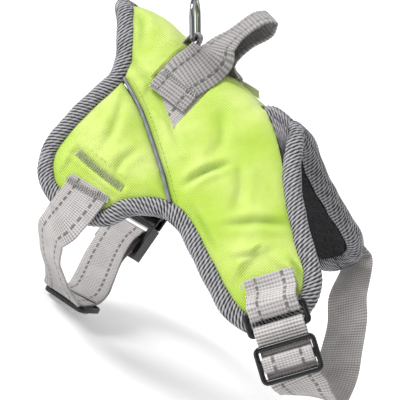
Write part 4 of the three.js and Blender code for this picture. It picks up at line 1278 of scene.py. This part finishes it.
def slider(loop, matrix):
    """The tri-glide of one loop, and the webbing over its middle bar."""
    plastic = plate(f"{loop}_slider_moulding", slider_outlines(), SLIDER_THICK, matrix)
    done(plastic, "black_plastic", f"{loop}_slider", body=f"{loop}_adjuster")
    foot = 2.0 + 2 * GAP + THICK / 2
    top = 1.3 + 2 * GAP + THICK / 2
    half_view = [(foot - 0.5, top), (foot, 0.4), (foot + 0.2, -1.0), (foot + 0.5, -2.2)]
    side_view = [*[(-y, z) for y, z in half_view[::-1]], (0, top + 0.4), *half_view]
    rows = [(inside(matrix, 0, y, z), matrix[:3, 0]) for y, z in side_view]
    cloth = band(f"{loop}_wrap_web", rows, finish("web"), step=0.35)
    done(cloth, "webbing", f"{loop}_slider_wrap", body=f"{loop}_adjuster")


# ---------- the chest loop ----------


def chest_frame():
    s, t = TIP[0] - 5, -(CHEST[1] - 10.5)
    across = unit(X * math.sin(CHEST_DOWN) - down_flank(s, t) * math.cos(CHEST_DOWN))
    along = unit(np.array([across[2], 0, -across[0]]))
    return local(place(s, t, 6.8), -across, along), across


class HARNESS_OT_chest(bpy.types.Operator):
    """Build the chest loop: tab, ring, strap and slider"""

    bl_idname = "harness.chest"
    bl_label = "Chest loop"

    def execute(self, context):
        chest, across = chest_frame()
        t = -(CHEST[1] - 10.5)

        def rows_at(profile):
            return [(inside(chest, 0, y, z), across) for y, z in profile]

        tab = [
            (place(CHEST[0] - 2.5, t + 11, 3.2), across),
            (place(CHEST[0] + 4, t + 6.5, 3.9), across),
            *rows_at([(-4, WRAP), *fold(0, -1)[::-1], (-4, -WRAP)]),
            (place(TIP[0] - 14, t + 6, 1.6), across),
        ]
        web = band("chest_tab_web", tab, finish("web_bold"), rib=2.0, depth=0.16)
        done(web, "webbing", "chest_ring_tab")

        outer = [(x, y + RING_PITCH / 2) for x, y in round_rect(WEB + 7, RING_PITCH + RING_BAR, 2.8)]
        hole = [(x, y + RING_PITCH / 2) for x, y in round_rect(WEB + 1.4, RING_PITCH - RING_BAR, 1.0)]
        ring = plate("chest_ring_moulding", [outer, hole], RING_BAR, chest)
        done(ring, "black_plastic", "chest_ring", body="chest_link")

        slide_y = RING_PITCH + 15
        end_y = slide_y + 9.5
        left_t = CHEST[1] - 12
        left = X * math.sin(CHEST_DOWN) - down_flank(TIP[0] - 8, left_t) * math.cos(CHEST_DOWN)
        rows = [
            *rows_at([(end_y, 1.7), (slide_y - 4, 1.8), (RING_PITCH + 6, 2.0)]),
            *rows_at(fold(RING_PITCH, 1)[::-1]),
            *rows_at([(RING_PITCH + 6, -1.2), (slide_y - 4, -0.2), (end_y, -0.2)]),
            hang(109.5, -42, -92, 24, 46), hang(113.5, -33, -96, 8, 36),
            hang(115.5, -20, -98.5, -12, 22), hang(115.5, -5, -100, -28, 10),
            hang(114, 10, -101, -28, 8), hang(111, 24, -97, -23, 16),
            hang(104, 38, -88, -18, 32), hang(96, 49, -77, -19, 38), hang(87, 57, -68, -20, 40),
            (place(TIP[0] + 5, left_t + 5, 5.4), left), (place(TIP[0], left_t + 1.5, 4.6), left),
            (place(TIP[0] - 8, left_t - 2, 3.4), left), (place(TIP[0] - 17, left_t - 7, 1.6), left),
        ]
        strap = band("chest_strap_web", rows, finish("web_plain"), rib=1.6, depth=0.14)
        done(strap, "webbing", "chest_strap")
        at = chest @ np.array([[1, 0, 0, 0], [0, 1, 0, slide_y], [0, 0, 1, 4.6], [0, 0, 0, 1.0]])
        slider("chest", at)
        return {"FINISHED"}


# ---------- the girth loop and its buckle ----------


def girth_axes():
    turn = np.array([[math.cos(GIRTH_TURN), -math.sin(GIRTH_TURN), 0],
                     [math.sin(GIRTH_TURN), math.cos(GIRTH_TURN), 0], [0, 0, 1]])
    c, s = math.cos(-GIRTH_TILT), math.sin(-GIRTH_TILT)
    tilt = np.array([[c, 0, s], [0, 1, 0], [-s, 0, c]])
    return (turn @ tilt).T


def under(x, y, rise):
    return hang(x, y, rise - GIRTH_DROP, math.degrees(GIRTH_TURN), math.degrees(GIRTH_TILT))


def buckle_frame():
    across, left, up = girth_axes()
    lean = math.radians(20)
    axis = left * math.sin(lean) + up * math.cos(lean)
    return local(np.array(BUCKLE_AT), -across, axis), across


def lobe_across(side):
    return unit(X - down_flank(GIRTH_S, side * GIRTH_T) * math.tan(GIRTH_TILT))


class HARNESS_OT_girth(bpy.types.Operator):
    """Build the girth strap, which bends between the saddle and the plug, and its slider"""

    bl_idname = "harness.girth"
    bl_label = "Girth loop"

    def execute(self, context):
        buckle, across = buckle_frame()

        def lobe(s, t, height):
            return place(GIRTH_S + s, -(GIRTH_T + t), height), lobe_across(-1)

        def at_bar(y, z):
            return inside(buckle, 0, y, z), across

        rows = [
            lobe(4.8, -13, 1.1), lobe(5.6, -6, 2), lobe(6.2, 1, 3.6),
            hang(-38, -53.5, -101, -4, 12), hang(-40.5, -52, -112, -26, 16),
            hang(-38, -45, -124, -42, 20), hang(-32.5, -35, -135, -42, 20),
            hang(-29.5, -25, -143.5, -24, 15),
            under(-31, -15, 1.4), under(-30, -9, 0), under(-29, -1, 0), under(-28.5, 6, 0.7),
            under(-29.5, 12, 3), under(-32.5, 18, 6.6), under(-40.2, 32, 17.6),
            at_bar(-6, 1), *[at_bar(y, z) for y, z in fold(0, -1)[::-1]], at_bar(-5, -WRAP - 2.6),
            under(-40.2, 29.6, 19.2), under(-32.5, 16, 8.6), under(-28.3, 6, 3.6), under(-28, -1, 2.2),
        ]
        strap = band("girth_strap_web", rows, finish("web"), rib=1.1, depth=0.12)
        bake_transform(strap)
        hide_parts("girth_strap")

        axes = girth_axes()
        drop = GIRTH_DROP + THICK / 2 + GAP + 1.3
        at = local(np.array([-29, -3, -drop]), axes[0], -axes[1])
        slider("girth", at)
        return {"FINISHED"}


def rounded_copy(name, node, width, body):
    """A copy of a moulded CAD node with its flat faces made whole and its edges rounded."""
    import bmesh

    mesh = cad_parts[node].data.copy()
    bm = bmesh.new()
    bm.from_mesh(mesh)
    bmesh.ops.remove_doubles(bm, verts=bm.verts, dist=1e-6)
    bmesh.ops.dissolve_limit(bm, angle_limit=math.radians(1), verts=bm.verts, edges=bm.edges)
    sharp = [e for e in bm.edges if len(e.link_faces) == 2 and e.calc_face_angle() > math.radians(25)]
    bmesh.ops.bevel(bm, geom=sharp, offset=width * MM, segments=2, affect="EDGES", clamp_overlap=True)
    bm.to_mesh(mesh)
    bm.free()
    mesh.name = name
    mesh.materials.clear()
    mesh.materials.append(finish("plastic"))
    mesh.polygons.foreach_set("use_smooth", [True] * len(mesh.polygons))
    mesh.set_sharp_from_angle(angle=math.radians(35))
    obj = bpy.data.objects.new(name, mesh)
    bpy.context.scene.collection.objects.link(obj)
    return done(obj, "black_plastic", node, body=body)


class HARNESS_OT_buckle(bpy.types.Operator):
    """Build the side-release buckle and the tab that holds its socket"""

    bl_idname = "harness.buckle"
    bl_label = "Side-release buckle"

    def execute(self, context):
        rounded_copy("plug_moulding", "buckle_plug", 0.5, "plug")
        rounded_copy("socket_moulding", "buckle_socket", 0.5, BODY)
        rounded_copy("prong_moulding_rear", "buckle_prong_rear", 0.4, "prong_rear")
        rounded_copy("prong_moulding_front", "buckle_prong_front", 0.4, "prong_front")
        buckle, across = buckle_frame()
        tab_bar, bar_z = 8.3 + 25 - 1.7, 2.3

        def lobe(s, t, height):
            return place(GIRTH_S + s, GIRTH_T + t, height), lobe_across(1)

        def at_bar(y, z):
            return inside(buckle, 0, y, z), across

        rows = [
            lobe(-4, -42, 4), lobe(-5, -35, 5.2), at_bar(tab_bar + 5, bar_z + WRAP),
            *[at_bar(y, z + bar_z) for y, z in fold(tab_bar, 1)[::-1]],
            at_bar(tab_bar + 5, bar_z - WRAP), lobe(-5, -31, 3), lobe(-4, -38, 2.2),
        ]
        done(band("buckle_tab_web", rows, finish("web"), rib=1.1), "webbing", "buckle_tab")
        return {"FINISHED"}


# ---------- stitching ----------


def bartack_lines():
    """Each bartack's line in pattern coordinates, its width, its pitch and its height."""
    box = GAP + 2 * THICK + GAP + 0.35
    found = []
    for side in (-1, 1):
        found.append((((-50, side * 35.4), (-27, side * 35.4)), 2.6, 1.5, box))
        found.append((((-50, side * 25.5), (-27, side * 25.5)), 2.4, 1.5, box + 0.9))
    for side in (-1, 1):
        found.append((((-57, side * 87), (-41, side * 87.6), (-25, side * 87)), 4.0, 1.3, 0.7))
    found.append((((-52, -100.5), (-39, -99.5), (-26, -96)), 3.8, 1.3, 2.6))
    found.append((((57, -88.4), (72, -66.1)), 3.0, 1.3, 3.6))
    return found


class HARNESS_OT_stitching(bpy.types.Operator):
    """Sew the seams, the bartacks and the boxes over the webbing"""

    bl_idname = "harness.stitching"
    bl_label = "Stitching"

    def execute(self, context):
        share = np.linspace(0, 1, 120)
        lines = [lifted(Path(piping_run(side, -3.6)).even(share), 0.55) for side in (-1, 1)]
        sewn("seam_stitches", lines, "stitch", "lime_thread", "lime_oxford")

        half = CROSS_WIDTH / 2
        lines = []
        for side in (-1, 1):
            for at in (-0.8, 0.8):
                reach = mix(31.0, 46.0, (at + 1) / 2)
                t = side * np.linspace(reach - 1.5, 14, 60)
                lines.append(lifted(np.stack([CROSS_S + at * half + 0 * t, t], -1), GAP + THICK + 0.25))
        sewn("cross_strap_stitches", lines, "stitch", "light_thread", "webbing")

        tacks = [lifted(zigzag(line, width, pitch), height)
                 for line, width, pitch, height in bartack_lines()]
        sewn("bartacks", tacks, "cord", "light_thread", "webbing", scale=1.5)
        return {"FINISHED"}


# ---------- stage ----------


FLOOR_REACH = 30.0  # metres
FLOOR_DROP = 0.0005
FLOOR_WHITE = 0.95
FLOOR_GLOW = 0.22
SKY_LIGHT = 0.36
# name, direction that it comes from, strength, and width in degrees
SUNS = (
    ("key_light", (-0.75, -0.55, 0.62), 3.0, 24),
    ("top_light", (0.15, 0.1, 1.0), 0.85, 80),
    ("rim_light", (0.5, 0.75, 0.5), 0.5, 50),
)
CAMERA_AZIMUTH = 18
CAMERA_ELEVATION = 14
CAMERA_ROLL = 34
CAMERA_TARGET = (0, 0, -0.062)
CAMERA_DISTANCE = 0.6
CAMERA_SENSOR = 36.0
CAMERA_LENS = 99.6


class HARNESS_OT_stage(bpy.types.Operator):
    """Set the pale floor, the soft lights and the camera"""

    bl_idname = "harness.stage"
    bl_label = "Floor, lights and camera"

    def execute(self, context):
        scene = context.scene
        scene.view_settings.view_transform = "Standard"
        floor_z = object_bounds()[0].z - FLOOR_DROP
        data = bpy.data.meshes.new("floor")
        corners = ((-1, -1), (1, -1), (1, 1), (-1, 1))
        square = [(x * FLOOR_REACH, y * FLOOR_REACH, floor_z) for x, y in corners]
        data.from_pydata(square, [], [(0, 1, 2, 3)])
        floor = bpy.data.objects.new("floor", data)
        scene.collection.objects.link(floor)
        paper = bpy.data.materials.new("matt_white_paper")
        paper.use_nodes = True
        shader = paper.node_tree.nodes["Principled BSDF"]
        shader.inputs["Base Color"].default_value = (*[FLOOR_WHITE] * 3, 1)
        shader.inputs["Roughness"].default_value = 0.9
        shader.inputs["Emission Color"].default_value = (1, 1, 1, 1)
        shader.inputs["Emission Strength"].default_value = FLOOR_GLOW
        data.materials.append(paper)
        floor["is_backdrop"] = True

        world = bpy.data.worlds.new("studio")
        scene.world = world
        world.use_nodes = True
        sky = world.node_tree.nodes["Background"]
        sky.inputs["Color"].default_value = (1, 1, 1, 1)
        # the paper behind is seen at full white, and gives back a softer light
        seen = add(world.node_tree, "ShaderNodeLightPath").outputs["Is Camera Ray"]
        level = add(world.node_tree, "ShaderNodeMapRange", {3: SKY_LIGHT, 4: 1.0}, {0: seen})
        world.node_tree.links.new(level.outputs[0], sky.inputs["Strength"])

        for name, direction, strength, spread in SUNS:
            lamp = bpy.data.lights.new(name, "SUN")
            lamp.energy = strength
            lamp.angle = math.radians(spread)
            light = bpy.data.objects.new(name, lamp)
            light.rotation_mode = "QUATERNION"
            light.rotation_quaternion = Vector(direction).to_track_quat("Z", "Y")
            scene.collection.objects.link(light)

        angles = (CAMERA_AZIMUTH, CAMERA_ELEVATION, CAMERA_ROLL)
        azimuth, elevation, roll = (math.radians(v) for v in angles)
        flat = math.cos(elevation)
        back = Vector((math.sin(azimuth) * flat, -math.cos(azimuth) * flat, math.sin(elevation)))
        level = Vector((math.cos(azimuth), math.sin(azimuth), 0))
        rise = back.cross(level)
        right = level * math.cos(roll) + rise * math.sin(roll)
        up = rise * math.cos(roll) - level * math.sin(roll)
        lens = bpy.data.cameras.new("camera")
        lens.sensor_width = CAMERA_SENSOR
        lens.lens = CAMERA_LENS
        camera = bpy.data.objects.new("camera", lens)
        turned = Matrix((right, up, back)).transposed().to_4x4()
        turned.translation = Vector(CAMERA_TARGET) + back * CAMERA_DISTANCE
        camera.matrix_world = turned
        scene.collection.objects.link(camera)
        scene.camera = camera
        return {"FINISHED"}


class HARNESS_PT_panel(bpy.types.Panel):
    """Sizes, colours and the steps that build the harness"""

    bl_label = "Saddle harness"
    bl_idname = "HARNESS_PT_panel"
    bl_space_type = "VIEW_3D"
    bl_region_type = "UI"
    bl_category = "Harness"

    def draw(self, context):
        for group in (context.scene.harness_sizes, context.scene.harness_colours):
            box = self.layout.box()
            for name in group.bl_rna.properties.keys():
                if name not in ("rna_type", "name"):
                    box.prop(group, name)
        for step in STEPS:
            self.layout.operator(step.bl_idname)


STEPS = (
    HARNESS_OT_saddle,
    HARNESS_OT_yoke,
    HARNESS_OT_bindings,
    HARNESS_OT_piping,
    HARNESS_OT_ridge_webbing,
    HARNESS_OT_leash_ring,
    HARNESS_OT_chest,
    HARNESS_OT_girth,
    HARNESS_OT_buckle,
    HARNESS_OT_stitching,
    HARNESS_OT_stage,
)
CLASSES = (HarnessSizes, HarnessColours, *STEPS, HARNESS_PT_panel)


def register():
    for item in CLASSES:
        bpy.utils.register_class(item)
    bpy.types.Scene.harness_sizes = PointerProperty(type=HarnessSizes)
    bpy.types.Scene.harness_colours = PointerProperty(type=HarnessColours)


def unregister():
    del bpy.types.Scene.harness_colours
    del bpy.types.Scene.harness_sizes
    for item in reversed(CLASSES):
        bpy.utils.unregister_class(item)


def main():
    register()
    for step in STEPS:
        group, name = step.bl_idname.split(".")
        getattr(getattr(bpy.ops, group), name)()


if __name__ == "__main__":
    main()
